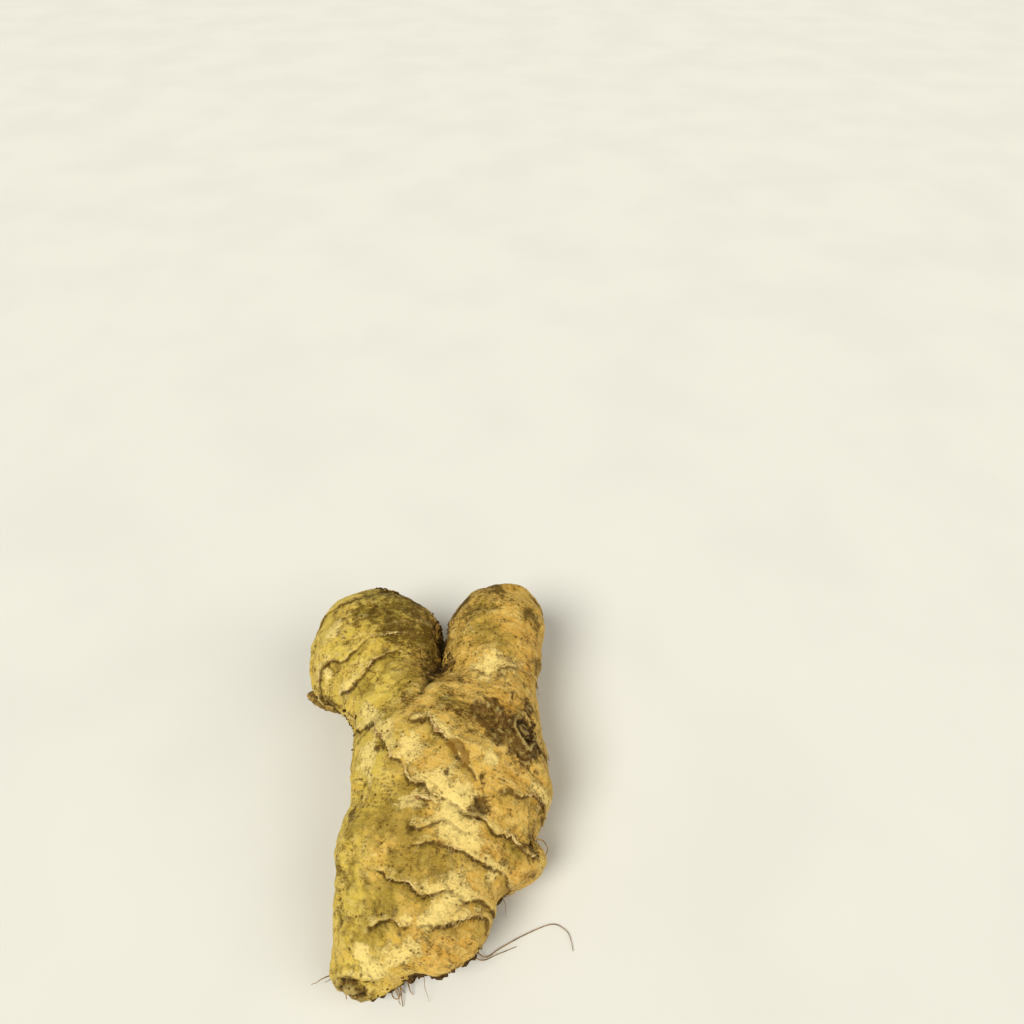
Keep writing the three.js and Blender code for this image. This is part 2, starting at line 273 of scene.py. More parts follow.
# Cuts and holes: two ends, width and depth.
GROOVES = [
    ((9.2, 18.5, 29), (12, 2, 33), 1.8, 0.7),
    ((5.3, 22.5, 24), (3.0, 14.4, 29.5), 2.2, 0.8),
    ((3.0, 14.4, 29.5), (0.6, 6.4, 33.9), 2.0, 1.1),
    ((3.0, 14.4, 29.5), (0.6, 6.4, 33.9), 0.8, 0.5),
    ((0.6, 6.4, 33.9), (-3.7, 1.6, 33.9), 1.6, 0.8),
    ((-3.7, 1.6, 33.9), (-7.5, -0.6, 33.2), 1.2, 0.4),
    ((30.6, -28.0, 19.0), (31.6, -29.0, 16.5), 1.5, 1.6),
    ((25.6, -29.6, 20.5), (29.8, -27.6, 19.2), 0.5, 0.4),
    ((30.6, -7.4, 27.4), (31.4, -9.8, 26.0), 0.7, 0.7),
    ((-27.6, 18.2, 27.8), (-25.4, 16.6, 27.2), 0.5, 0.4),
    ((-30.2, 16.8, 23.2), (-28.4, 15.4, 23.0), 0.5, 0.4),
    ((16.2, -23.4, 30.7), (17.8, -24.6, 30.3), 0.9, 0.6),
    ((15.2, -21.6, 31.2), (16.0, -22.4, 31.0), 0.6, 0.5),
    ((-12.0, -54.2, 12.6), (-7.6, -55.4, 11.8), 0.7, 0.5),
    ((-7.6, -55.4, 11.8), (-8.4, -56.6, 8.4), 0.8, 0.7),
    ((-15.0, -54.6, 9.6), (-13.2, -56.4, 6.4), 0.7, 0.5),
    ((-11.6, -56.6, 8.6), (-10.6, -56.8, 6.6), 0.9, 0.4),
]

# Stains of each kind: centre and radius, as soft spots on the skin. Their order picks their noise.
STAINS = {
    "umber": [
        (15.5, -1.3, 33.9, 4.2), (18.2, -4.2, 33.7, 2.4), (21.2, -7, 33.1, 2.8), (27, -3.4, 30.2, 4.8),
        (30.6, -8.1, 27.1, 2), (26.6, -10.7, 29.9, 2.5), (21.5, -0.5, 32, 2.4), (23.8, 7.4, 31.4, 1.2),
        (28.8, 5, 27.2, 2), (16.3, -17.6, 32.9, 1.5), (10, -18.5, 34.3, 0.9), (16.5, -24.1, 30.7, 2.1),
        (17, -26.4, 29.8, 1), (31.2, -14.1, 25.7, 1.3), (5.8, -41.3, 25.7, 1), (2.7, -5.1, 35.7, 1.3),
        (5.5, -9, 35.6, 1.1), (-11.7, -3.4, 29.6, 1.6), (-7.7, -8.7, 32.2, 1.2), (23.1, -28.2, 24.8, 1),
        (19.7, -32.1, 25, 1), (14.8, -39.1, 23.9, 0.9), (11.6, -42.1, 23.5, 0.8),
        (10.6, -46.6, 21.2, 0.9), (17, -41.2, 20.9, 1.1), (28.6, -29.8, 20.5, 1.4),
        (27.4, -34.1, 16.7, 1.4), (30.7, -28.7, 18.5, 2.1), (26.7, -28.6, 21.6, 1.6),
        (-11.5, -57, 8, 2.4),
    ],
    "spot": [
        (10.9, -11.9, 35.8, 2.1), (12, -14.3, 35, 1.3), (13, -16.2, 34.3, 0.9),
    ],
    "pale": [
        # Pale dry skin. The spot at (5.8, -18.7) on the body's top and the two on the nub at (-6.8,
        # -54) and (-7.2, -53) are partly pale skin and partly painted highlight.
        (5.8, -18.7, 34.8, 3.1), (12.2, -21.5, 33, 4), (-0.9, -11.1, 35.1, 3.6),
        (9.6, -26.8, 31.2, 3.6), (1.5, -23.7, 32.2, 2.1), (-6.8, -54, 15.3, 3.6), (-7.2, -53, 16.8, 3),
        (0.9, -51.3, 19.4, 4), (-27.8, 16.3, 25.2, 2.8), (-12.8, 2, 29.9, 3.2), (18.9, 14.5, 32.1, 4.9),
        (14.9, -30.3, 28.8, 3.6), (11.8, -41, 24.7, 4), (-6.9, -4.8, 33.4, 2.4),
        (19.5, -12.6, 33.5, 2.8), (-11.7, -11.9, 29.3, 4), (7.3, -45.2, 23.4, 3.2),
        (-26.1, 27, 31.5, 4), (20.4, -35, 22, 2.4),
    ],
    # Damp stains. The spots on the knob's top and on the finger's top are partly damp stain and partly
    # painted shade.
    "olive": [
        (-0.3, -19.6, 32.9, 3.2), (-7.8, -26, 28.6, 4.9), (-2.7, -25, 31.1, 4), (1.2, -30.9, 30.1, 3.6),
        (0.2, -35.8, 28.2, 4.5), (-4.2, -42.1, 24.3, 4.5), (-5.9, -46.9, 21.9, 2.9),
        (-12.3, -36.2, 23.2, 2.8), (8.3, -36.4, 28.1, 4.9), (3.2, -41.6, 25.5, 2.3),
        (14.5, 25.9, 33, 4.5), (22.1, 22.4, 32.8, 4), (8.3, 16.2, 28.2, 2.9), (9.4, 0.5, 35.1, 4.9),
        (10.3, 40.1, 27.5, 2.9), (-2.7, 12.7, 31.9, 5.2), (0.7, 26, 27.2, 4.9), (-9.6, 26.1, 34.1, 4),
        (-16, 10.3, 29.1, 2.9), (-7, 38.3, 31.1, 4), (-19.3, 19.9, 32.7, 2.4), (-25.9, 18.1, 28.3, 1.9),
        (-7.5, 0.1, 33.1, 2.8), (-13.5, -56, 10, 4.2), (-10.6, -48.5, 18.5, 3.5), (15.1, 33.8, 32.9, 5),
        (-14.5, 30, 34.9, 4.5), (-13, -27.5, 26, 3), (-10.4, 17, 32.6, 3.6), (24, -31.5, 21, 3),
    ],
    "ochre": [
        (27.1, 28.3, 31.2, 4.9), (25.3, -17, 29.9, 4.5), (21.5, 1.4, 32.3, 4.5),
        (20.3, -29.7, 25.7, 4.9), (4.1, -49.1, 21.1, 6.5), (11.9, -47.6, 19.5, 5.7),
        (13.7, -39.9, 24.3, 3.2), (26, -33.2, 19.1, 4), (28.7, 16.7, 27.5, 3.2),
        # The last spot below, (30.5, 25, 25, 5) on the finger's right side, is painted shade.
        (29.7, -19.7, 23.1, 3.2), (24.5, 5, 31, 4.5), (30.5, 25, 25, 5),
    ],
    # Grime. The spots on the knob's top and right side and on the finger's top and right side are
    # partly dirt and partly painted shade.
    "grime_and_shade": [
        (-15.5, -34, 20.5, 3.6), (-14.8, -43, 17.5, 3.4), (-13.6, -24, 24, 2.6),
        (-8.4, 26.9, 33.9, 4.5), (12.6, 32, 32, 4), (20, 40, 31.5, 3.2), (0.7, 26, 27.2, 7.5),
        (-5, 38, 30.5, 8), (-14.4, 39, 32, 6.2), (-18.4, 30.1, 34.5, 3.2), (-2.8, 30, 30.5, 6),
        (9.4, 40.1, 26.5, 5), (18, 45, 27.5, 4.2), (4.6, 16, 27.5, 4.5), (-3, 3.4, 34.3, 3.5),
        (28.8, 4.5, 26.3, 4), (30.5, -6.5, 26.5, 3.5), (31.2, -26.5, 19.5, 4), (-12, -58, 8, 3.8),
        (-27, 13, 17, 4.5), (29.5, 33, 28.5, 3.5), (-26, 36, 24, 4), (32, 21, 22, 4),
    ],
}


# ---------------------------------------------------------------- numbers on whole arrays

def smooth(value, low, high):
    """Rises from 0 at low to 1 at high: 3t^2 - 2t^3 of t, the clamped share between them."""
    share = np.clip((value - low) / (high - low), 0.0, 1.0)
    return share * share * (3.0 - 2.0 * share)


# Large odd factors that scatter a grid point's bits, and masks that keep 32 and 16 of them.
MIXERS = (374761393, 668265263, 1103515245, 1274126177)
WORD = 0xFFFFFFFF
HALF_WORD = 0xFFFF
# A turn that sets the grids of noise askew to the axes.
TURN = np.array([[0.36, 0.48, -0.8], [-0.8, 0.6, 0.0], [0.48, 0.64, 0.6]])
NOISE_GAIN = 1.7  # brings gradient noise to about -1 to 1


def lattice(i, j, k, seed):
    """Whole-number grid points mixed by multiplying and shifting into values from -1 to 1."""
    mixed = (i * MIXERS[0] + j * MIXERS[1] + k * MIXERS[2] + seed * MIXERS[3]) & WORD
    mixed = ((mixed ^ (mixed >> 13)) * MIXERS[3]) & WORD
    return ((mixed ^ (mixed >> 16)) & HALF_WORD) / (0.5 * HALF_WORD) - 1.0


def noise(points, size, seed):
    """Gradient noise, about -1 to 1: slopes at turned grid points, blended over cells.

    The size is that of a cell, or three sizes, one for each axis.
    """
    scaled = (points / size) @ TURN
    base = np.floor(scaled).astype(np.int64)
    part = scaled - base
    ease = part * part * part * (part * (part * 6.0 - 15.0) + 10.0)
    total = np.zeros(len(points))
    for corner in range(8):
        step = np.array([corner & 1, corner >> 1 & 1, corner >> 2])
        weight = np.prod(np.where(step, ease, 1.0 - ease), axis=1)
        cell = (base + step).T
        total += weight * sum(lattice(*cell, seed * 3 + n) * (part[:, n] - step[n]) for n in range(3))
    return NOISE_GAIN * total


def cells(points, size, seed):
    """Distance to the nearest of one random point per cell, in cells, and that point's chance."""
    scaled = points / size
    base = np.floor(scaled).astype(np.int64)
    nearest = np.full(len(points), 9.0)
    chance = np.zeros(len(points))
    for corner in range(27):
        cell = base + np.array([corner % 3 - 1, corner // 3 % 3 - 1, corner // 9 - 1])
        feature = cell + 0.5 + 0.45 * np.stack([lattice(*cell.T, seed + n) for n in range(3)], axis=1)
        away = np.linalg.norm(scaled - feature, axis=1)
        closer = away < nearest
        nearest = np.where(closer, away, nearest)
        chance = np.where(closer, lattice(*cell.T, seed + 3) * 0.5 + 0.5, chance)
    return nearest, chance


def to_segment(points, start, end):
    """Distance from points to the straight line between two ends."""
    start, end = np.array(start, float), np.array(end, float)
    along = np.clip((points - start) @ (end - start) / np.sum((end - start) ** 2), 0.0, 1.0)
    return np.linalg.norm(points - start - along[:, None] * (end - start), axis=1)


# ---------------------------------------------------------------- the smooth body

def to_swelling(points, shape):
    """Distance to an ellipsoid: k(k - 1)/m, with k = |q|, m = |q/r| and q the turned offset over r."""
    (x, y, z), radii, cos, sin = shape
    dx, dy, dz = points[:, 0] - x, points[:, 1] - y, points[:, 2] - z
    q = [(dx * cos + dy * sin) / radii[0], (dy * cos - dx * sin) / radii[1], dz / radii[2]]
    reach = np.sqrt(q[0] ** 2 + q[1] ** 2 + q[2] ** 2)
    under = np.sqrt((q[0] / radii[0]) ** 2 + (q[1] / radii[1]) ** 2 + (q[2] / radii[2]) ** 2)
    return reach * (reach - 1.0) / np.maximum(under, 1e-6)


def soft_union(distances, blend):
    """Smooth minimum of distances: -b ln(sum of exp(-d/b))."""
    total = 1e-30
    for distance in distances:
        total = total + np.exp(-distance / blend)
    return -blend * np.log(total)


def growths(points):
    """Distances to the main growth, to the side growth and to both joined, tightly at the crotch."""
    main = soft_union((to_swelling(points, shape) for shape in MAIN_GROWTH), BLEND)
    side = soft_union((to_swelling(points, shape) for shape in SIDE_GROWTH), BLEND)
    away = smooth(np.linalg.norm(points - CROTCH, axis=1), *CROTCH_REACH)
    blend = CREASE + (BLEND - CREASE) * away
    joined = -blend * np.log(np.exp(-main / blend) + np.exp(-side / blend) + 1e-30)
    return main, side, joined


def body(points):
    """Distance to the smooth body: both growths less the hollows."""
    joined = growths(points)[2]
    hollows = [to_swelling(points, shape) for shape in HOLLOWS]
    return -soft_union([-joined, *hollows], HOLLOW_EDGE)


def slope(points, step=0.1):
    """Gradient of the body's distance, by central differences."""
    rises = [body(points + shift) - body(points - shift) for shift in np.eye(3) * step]
    return np.stack(rises, axis=1) / (2 * step)


def onto_body(points, passes=3):
    """Points moved along the gradient onto the smooth body, and the outward directions there."""
    for _ in range(passes):
        gradient = slope(points)
        steepness = np.maximum(np.sum(gradient ** 2, axis=1), LEAST_SLOPE)
        points = points - gradient * (body(points) / steepness)[:, None]
    gradient = slope(points)
    return points, gradient / np.maximum(np.linalg.norm(gradient, axis=1), 1e-6)[:, None]


def weave_body(cell):
    """Surface net of the body: a vertex in each crossed grid cell, a quad round each crossed edge."""
    counts = np.ceil((SPACE_HIGH - SPACE_LOW) / cell).astype(int) + 1
    axes = [SPACE_LOW[n] + cell * np.arange(counts[n]) for n in range(3)]
    value = np.empty(counts)
    for i, x in enumerate(axes[0]):
        plane = np.stack(np.meshgrid([x], axes[1], axes[2], indexing="ij"), axis=-1)
        value[i] = body(plane.reshape(-1, 3)).reshape(counts[1:])
    inside = value < 0
    corners = [np.array([c & 1, c >> 1 & 1, c >> 2]) for c in range(8)]
    last = counts - 1
    held = sum(inside[i:last[0] + i, j:last[1] + j, k:last[2] + k].astype(int) for i, j, k in corners)
    mixed = (held > 0) & (held < 8)
    places = np.argwhere(mixed)
    index = np.full(last, -1)
    index[mixed] = np.arange(len(places))

    total, crossings = np.zeros((len(places), 3)), np.zeros(len(places))
    for corner in corners:
        for axis in np.eye(3, dtype=int):
            if (corner + axis).max() > 1:
                continue
            start, end = places + corner, places + corner + axis
            a, b = value[tuple(start.T)], value[tuple(end.T)]
            crossed = (a < 0) != (b < 0)
            share = np.where(crossed, a / np.where(crossed, a - b, 1.0), 0.0)
            total += (start + share[:, None] * axis) * crossed[:, None]
            crossings += crossed
    low = SPACE_LOW + places * cell
    points = onto_body(SPACE_LOW + total / crossings[:, None] * cell, 2)[0]
    points = np.clip(points, low + CELL_MARGIN * cell, low + (1.0 - CELL_MARGIN) * cell)

    quads = []
    for n, axis in enumerate(np.eye(3, dtype=int)):
        u, v = np.eye(3, dtype=int)[(n + 1) % 3], np.eye(3, dtype=int)[(n + 2) % 3]
        ends = counts - axis
        here, there = inside[:ends[0], :ends[1], :ends[2]], inside[axis[0]:, axis[1]:, axis[2]:]
        edges = np.argwhere(here != there)
        edges = edges[(edges >= u + v).all(axis=1) & (edges < last).all(axis=1)]
        round_edge = np.stack([index[tuple((edges - s).T)] for s in (0 * u, u, u + v, v)], axis=1)
        outward = inside[tuple(edges.T)]
        quads.append(np.where(outward[:, None], round_edge, round_edge[:, ::-1]))
    return points, np.concatenate(quads)


# ---------------------------------------------------------------- relief of the skin

def waver(points):
    """Wavers a ring's line to and fro by two long waves."""
    x, y, z = points.T
    return 0.9 * np.sin(0.31 * x + 0.23 * z + 1) + 0.5 * np.sin(0.74 * x - 0.41 * y)


def scallops(points):
    """Scalloped and frayed edge of a ring: noise of three sizes."""
    return 0.8 * noise(points, 4.2, 3) + 0.45 * noise(points, 1.7, 5) + 0.25 * noise(points, 0.8, 7)


def ring_marks(points, rise, fade):
    """Height of all ring steps, and the marks that colour them.

    A step is nothing behind its line, full at it, and sinks back as exp(-distance/fade) ahead.
    The marks are the distance ahead of the nearest line, how strong that line is, the damp band
    behind lines and the dry lip ahead of them.
    """
    height, band, lip = np.zeros(len(points)), np.zeros(len(points)), np.zeros(len(points))
    nearest, strength = np.full(len(points), 9.0), np.zeros(len(points))
    ragged = scallops(points)
    for n, (at, direction, reach, share) in enumerate(RINGS):
        ahead = (points - at) @ direction + waver(points) + ragged
        near = 1.0 - smooth(np.linalg.norm(points - at, axis=1), 0.75 * reach, reach)
        broken = np.clip(0.7 + 0.55 * noise(points, 5.0, 20 + n), 0.15, 1.15)
        step = smooth(ahead, -RING_LIP, 0.0) * np.exp(-np.maximum(ahead, 0.0) / fade)
        under = 0.2 * np.exp(-((ahead + 0.6) / 0.45) ** 2)
        shown = share * near * broken
        height += shown * (rise * step - under)
        behind = smooth(ahead, *DAMP_BAND[:2]) * (1.0 - smooth(ahead, *DAMP_BAND[1:]))
        before = smooth(ahead, *DRY_LIP[:2]) * (1.0 - smooth(ahead, *DRY_LIP[2:]))
        band, lip = np.maximum(band, shown * behind), np.maximum(lip, shown * before)
        closer = (np.abs(ahead) < np.abs(nearest)) & (near > 0.02)
        nearest = np.where(closer, ahead, nearest)
        strength = np.where(closer, shown, strength)
    strength *= 1.0 - smooth(np.abs(nearest), 1.0, 1.6)
    return height, {"ring": nearest, "ring_strength": strength, "band": band, "lip": lip}


def eye_marks(points):
    """Height of all eyes, and the distance to the nearest: a bud, and waves in rings round it."""
    height, nearest = np.zeros(len(points)), np.full(len(points), 12.0)
    wobble = 1.0 + 0.2 * noise(points, 3.0, 31) + 0.1 * noise(points, 1.2, 32)
    for at, radius, bud, long in EYES:
        offset = (points - np.array(at, float)) / np.array([1.0, long, 1.0])
        off = np.linalg.norm(offset, axis=1) * wobble
        share = off / radius
        height += bud * np.exp(-((share / 0.6) ** 2))
        for place, wide, rise in EYE_WAVES:
            height += rise * np.exp(-(((share - place) / wide) ** 2))
        nearest = np.minimum(nearest, off)
    return height, nearest


def groove_depth(points):
    """Depth of all cuts and holes: a Gaussian of the distance to each one's line."""
    return sum(deep * np.exp(-((to_segment(points, start, end) / wide) ** 2))
               for start, end, wide, deep in GROOVES)


def middle_line(line, steps=48):
    """A smooth line through a few points, by cubic blending of four neighbours, and its directions."""
    given = np.array([line[0], *line, line[-1]], float)
    share = np.linspace(0.0, len(line) - 1.001, steps)
    k = share.astype(int)
    t = (share - k)[:, None]
    a, b, c, d = given[k], given[k + 1], given[k + 2], given[k + 3]
    points = 0.5 * (2 * b + (c - a) * t + (2 * a - 5 * b + 4 * c - d) * t ** 2
                    + (3 * b - a - 3 * c + d) * t ** 3)
    ways = np.gradient(points, axis=0)
    return points, ways / np.linalg.norm(ways, axis=1)[:, None]


def grain_place(points, line):
    """Place in the grain: direction round the middle line times a usual radius, and distance along."""
    middle, ways = middle_line(line)
    lengths = np.concatenate([[0.0], np.cumsum(np.linalg.norm(np.diff(middle, axis=0), axis=1))])
    nearest = np.argmin(np.linalg.norm(points[:, None, :2] - middle[None, :, :2], axis=2), axis=1)
    way, offset = ways[nearest], points - middle[nearest]
    across = np.cross(way, [0.0, 0.0, 1.0])
    round_line = np.stack([np.sum(offset * across, axis=1), offset[:, 2]], axis=1)
    round_line /= np.maximum(np.linalg.norm(round_line, axis=1), 1e-6)[:, None]
    along = lengths[nearest] + np.sum(offset * way, axis=1)
    return np.concatenate([BODY_RADIUS * round_line, along[:, None]], axis=1)


def grain(points):
    """Place of each point in the grain of the growth that it belongs to."""
    main, side, _ = growths(points)
    on_side = (side < main - 0.05)[:, None]
    side_place = grain_place(points, SIDE_LINE) + [0.0, 0.0, SIDE_GRAIN_SHIFT]
    return np.where(on_side, side_place, grain_place(points, MAIN_LINE))


def stain(points, kind, seed):
    """One kind of mark, from 0 to 1: its soft spots, broken by noise, and fainter ones by chance."""
    moved = points + 2.0 * np.stack([noise(points, 5.0, seed + n) for n in range(3)], axis=1)
    moved += 0.9 * np.stack([noise(points, 1.8, seed + 4 + n) for n in range(3)], axis=1)
    total = 0.4 * smooth(noise(points, 8.0, seed + 8) + 0.4 * noise(points, 3.0, seed + 9), 0.25, 0.8)
    for *at, radius in STAINS[kind]:
        total += np.exp(-((np.linalg.norm(moved - np.array(at, float), axis=1) / radius) ** 2) * 0.9)
    return np.clip(total, 0.0, 1.0)


def neighbour_mean(values, edges, count):
    """Mean of each vertex's neighbours over the mesh's edges."""
    total = np.zeros_like(values)
    np.add.at(total, edges[:, 0], values[edges[:, 1]])
    np.add.at(total, edges[:, 1], values[edges[:, 0]])
    return total / (count[:, None] if values.ndim > 1 else count)


def unevenness(points, in_grain):
    """Dents and folds, about -1 to 1: noise of five sizes, and thin creases that run round the body.

    A crease lies where a noise stretched round the body passes nought: exp(-(noise/0.1)^2).
    """
    dents = 0.9 * noise(points, 9.0, 50) + 0.5 * noise(points, 4.6, 51)
    dents += 0.28 * noise(points, 2.3, 52) + 0.22 * noise(points, 1.3, 53)
    folds = noise(in_grain, np.array([11.0, 11.0, 3.4]), 60)
    folds += 0.5 * noise(in_grain, np.array([5.0, 5.0, 1.6]), 61)
    creases = np.exp(-(noise(in_grain, np.array([7.0, 7.0, 2.6]), 62) / 0.1) ** 2)
    creases *= smooth(noise(points, 6.0, 63), -0.1, 0.5)
    return dents + 0.55 * folds - 0.5 * creases


def skin_shape(settings):
    """The skin's points, quads and marks: the body woven, then raised along its normals."""
    mm = 1.0 / MM
    points, quads = weave_body(settings.weave * mm)
    points, outward = onto_body(points, 1)
    x, y, z = points.T
    in_grain = grain(points)
    rings, marks = ring_marks(points, settings.ring_rise * mm, settings.ring_fade * mm)
    eyes, from_eye = eye_marks(points)
    near_eye = np.exp(-((from_eye / EYE_REACH) ** 2))
    lump = settings.lump * mm
    height = lump * (np.sin(0.42 * x + 0.3) * np.sin(0.37 * y) + np.sin(0.5 * z + 0.31 * x - 0.45 * y))
    height += rings + eyes - groove_depth(points)
    height += settings.uneven * mm * unevenness(points, in_grain)

    # Pits, the wrinkles round an eye, and scabs.
    away, chance = cells(points, PIT_SPACING, 70)
    crowd = smooth(noise(points, 8.0, 71), -0.2, 0.6)
    pits = (chance < 0.12 + 0.45 * crowd) * (1.0 - smooth(away, 0.05, 0.26))
    stains = {kind: stain(points, kind, 300 + 20 * n) for n, kind in enumerate(STAINS)}
    umber = np.clip(stains["umber"] + 0.6 * near_eye, 0.0, 1.0)
    askew = 2.6 * noise(points, 3.4, 77) + 1.2 * noise(points, 1.6, 78)
    wrinkles = np.sin(WRINKLE_TURNS * from_eye + askew) * umber * (from_eye < WRINKLE_REACH)
    height -= WRINKLE_RISE * wrinkles * smooth(from_eye, 2.8, 3.6)
    near_nub = np.exp(-((np.linalg.norm(points - NUB, axis=1) / NUB_REACH) ** 2))
    scab = np.maximum(umber, near_nub) * (0.3 * noise(points, 1.7, 75) + 0.2 * noise(points, 0.9, 76))
    height += scab - settings.pit * mm * pits
    raised = points + outward * height[:, None]
    raised[:, 2] = np.maximum(raised[:, 2], 0.0)

    # How far each vertex lies below its neighbours.
    edges = np.concatenate([quads[:, [0, 1]], quads[:, [1, 2]], quads[:, [2, 3]], quads[:, [3, 0]]])
    edges = np.unique(np.sort(edges, axis=1), axis=0)
    count = np.bincount(edges.ravel(), minlength=len(points)).astype(float)
    dip = np.sum((neighbour_mean(raised, edges, count) - raised) * outward, axis=1)
    for _ in range(2):
        dip = 0.5 * dip + 0.5 * neighbour_mean(dip, edges, count)

    # Dirt round the eyes, and dirt with painted shade in the crease between the growths, low on the
    # sides near the table and in the dips.
    main, side, _ = growths(points)
    seam = np.exp(-np.abs(main - side) / SEAM_WIDTH)
    seam *= 1.0 - smooth(np.linalg.norm(points - CROTCH, axis=1), *SEAM_REACH)
    low = 1.0 - smooth(z, *DIRT_AND_SHADE_HEIGHT)
    dirt_and_shade = 0.9 * seam + 0.6 * low + 0.35 * near_eye + 5.0 * np.maximum(dip, 0.0)
    marks |= stains | {
        "umber": umber, "dirt_and_shade": np.clip(dirt_and_shade, 0.0, 1.0), "dip": np.clip(dip * 12.0, -1.0, 1.0),
        "pit": pits * 1.0, "eye": from_eye, "askew": askew, "grain": in_grain,
    }
    return raised, quads, marks


# ---------------------------------------------------------------- tubes and strips

def tube(path, radii, sides, rough=0.0, seed=0):
    """A closed tube: rings of points round a path at its radii, with a pole at each end.

    Noise can roughen it by a share of its radius, and nothing of it goes under the table.
    """
    path, radii = np.asarray(path, float), np.asarray(radii, float)
    ways = np.gradient(path, axis=0)
    ways /= np.linalg.norm(ways, axis=1)[:, None]
    side = np.cross(ways[0], [0.0, 0.0, 1.0] if abs(ways[0][2]) < 0.9 else [1.0, 0.0, 0.0])
    sides_way = []
    for way in ways:
        side = side - way * (side @ way)
        side = side / np.linalg.norm(side)
        sides_way.append(side)
    sides_way = np.array(sides_way)
    other = np.cross(ways, sides_way)
    angle = np.linspace(0.0, 2 * np.pi, sides, endpoint=False)
    cos, sin = np.cos(angle)[None, :, None], np.sin(angle)[None, :, None]
    spokes = cos * sides_way[:, None] + sin * other[:, None]
    grid = path[:, None] + spokes * radii[:, None, None]
    if rough:
        flat_grid = grid.reshape(-1, 3)
        bumps = noise(flat_grid, 0.8, seed) + 0.6 * noise(flat_grid, 0.35, seed + 1)
        grid = grid + spokes * (bumps.reshape(grid.shape[:2]) * rough * radii[:, None])[..., None]
    points = np.concatenate([grid.reshape(-1, 3), path[:1], path[-1:]])
    points[:, 2] = np.maximum(points[:, 2], 0.0)
    return points, tube_faces(len(path), sides)


def tube_faces(steps, sides):
    """Quads along a tube's grid, and triangles at its two poles with their last point repeated."""
    s, m = np.meshgrid(np.arange(steps - 1), np.arange(sides), indexing="ij")
    following = (m + 1) % sides
    here, beyond = s * sides, (s + 1) * sides
    quads = np.stack([here + m, here + following, beyond + following, beyond + m], axis=-1)
    first, last = steps * sides, steps * sides + 1
    around = np.arange(sides)
    after = (around + 1) % sides
    start = np.stack([np.full(sides, first), after, around, around], axis=1)
    rim = (steps - 1) * sides
    end = np.stack([np.full(sides, last), rim + around, rim + after, rim + after], axis=1)
    return np.concatenate([quads.reshape(-1, 4), start, end])


def gather(parts):
    """Several points-and-faces pairs as one pair."""
    points, faces, start = [], [], 0
    for part_points, part_faces in parts:
        points.append(part_points)
        faces.append(part_faces + start)
        start += len(part_points)
    return np.concatenate(points), np.concatenate(faces)


def curve(controls, steps):
    """Points along a smooth line through the controls."""
    return middle_line(controls, steps)[0]


# ---------------------------------------------------------------- root stubs

STUB_SEED = 15
STUB_TRIES = 240  # places tried, of which most reach too low or crowd another stub
STUB_REACH = (1.5, 3.0)  # shortest and longest reach of a stub out of the skin
STUB_THICK = (1.8, 2.8)  # least and greatest thickness
STUB_DIP = (35.0, 65.0)  # least and greatest angle, in degrees, at which a stub points down
STUB_GAP = 9.0  # least distance between the tips of two stubs
STUB_RISE = 1.5  # height of the lowest stub's underside over the table
DICE_FACTOR, DICE_STEP = 1664525, 1013904223  # the usual pair for a linear congruence
# The stub at the left: its root, tip, thickness and bow.
LEFT_STUB = (np.array([-26.0, 15, 11]), np.array([-35.5, 21, 8.5]), 3.2, np.array([-0.5, -1.2, -1.0]))


def dice(seed):
    """Seeded draws between 0 and 1, by a linear congruence of 32 bits."""
    state = seed
    while True:
        state = (state * DICE_FACTOR + DICE_STEP) & WORD
        yield state / (WORD + 1)


def leave_body(start, way):
    """The point where a straight line from inside first leaves the body."""
    far = np.arange(1, 200) * 0.25
    line = start + far[:, None] * way
    return line[np.argmax(body(line) >= 0)]


def stub_axes(count, sunk):
    """Root, tip, thickness and bow of each stub: it leaves a random swelling sideways and down."""
    draw = dice(STUB_SEED)

    def between(ends):
        """A draw between two ends."""
        return ends[0] + (ends[1] - ends[0]) * next(draw)

    starts = [shape[0] for shape in MAIN_GROWTH[2:10] + SIDE_GROWTH[1:4]]
    stubs = [LEFT_STUB]
    for _ in range(STUB_TRIES):
        if len(stubs) > count:
            break
        start = np.array(starts[int(next(draw) * len(starts))], float)
        round_z, down = 2 * math.pi * next(draw), math.radians(between(STUB_DIP))
        flat = math.cos(down)
        way = np.array([math.cos(round_z) * flat, math.sin(round_z) * flat, -math.sin(down)])
        foot = leave_body(start, way)
        tip = foot + way * between(STUB_REACH)
        thick = between(STUB_THICK)
        bow = np.array([next(draw) - 0.5, next(draw) - 0.5, 0.0])
        crowded = any(np.linalg.norm(other[1] - tip) < STUB_GAP for other in stubs[1:])
        if tip[2] >= STUB_RISE + thick / 2 and not crowded:
            stubs.append((foot - way * sunk, tip, thick, bow))
    return stubs


def root_stub(root, tip, thick, bow, seed):
    """A torn root: a bowed tube that flares at the skin, with a ragged rim round a sunk heart."""
    steps = 22
    share = np.linspace(0.0, 1.0, steps)[:, None]
    bend = root + (tip - root) * 0.6 + bow
    path = (1 - share) ** 2 * root + 2 * share * (1 - share) * bend + share ** 2 * tip
    share = share[:, 0]
    radii = thick * (0.52 - 0.14 * share) * (1.0 + 0.06 * np.sin(share * 31 + seed))
    rim = path[-1] + (path[-1] - path[-2]) * 0.2
    path = np.concatenate([path, [rim, path[-1] - (path[-1] - path[-2]) * 0.4, path[-2]]])
    radii = np.concatenate([radii, [radii[-1] * 0.82, radii[-1] * 0.55, radii[-1] * 0.2]])
    return tube(path, radii, 16, 0.14, seed)


# ---------------------------------------------------------------- rootlets

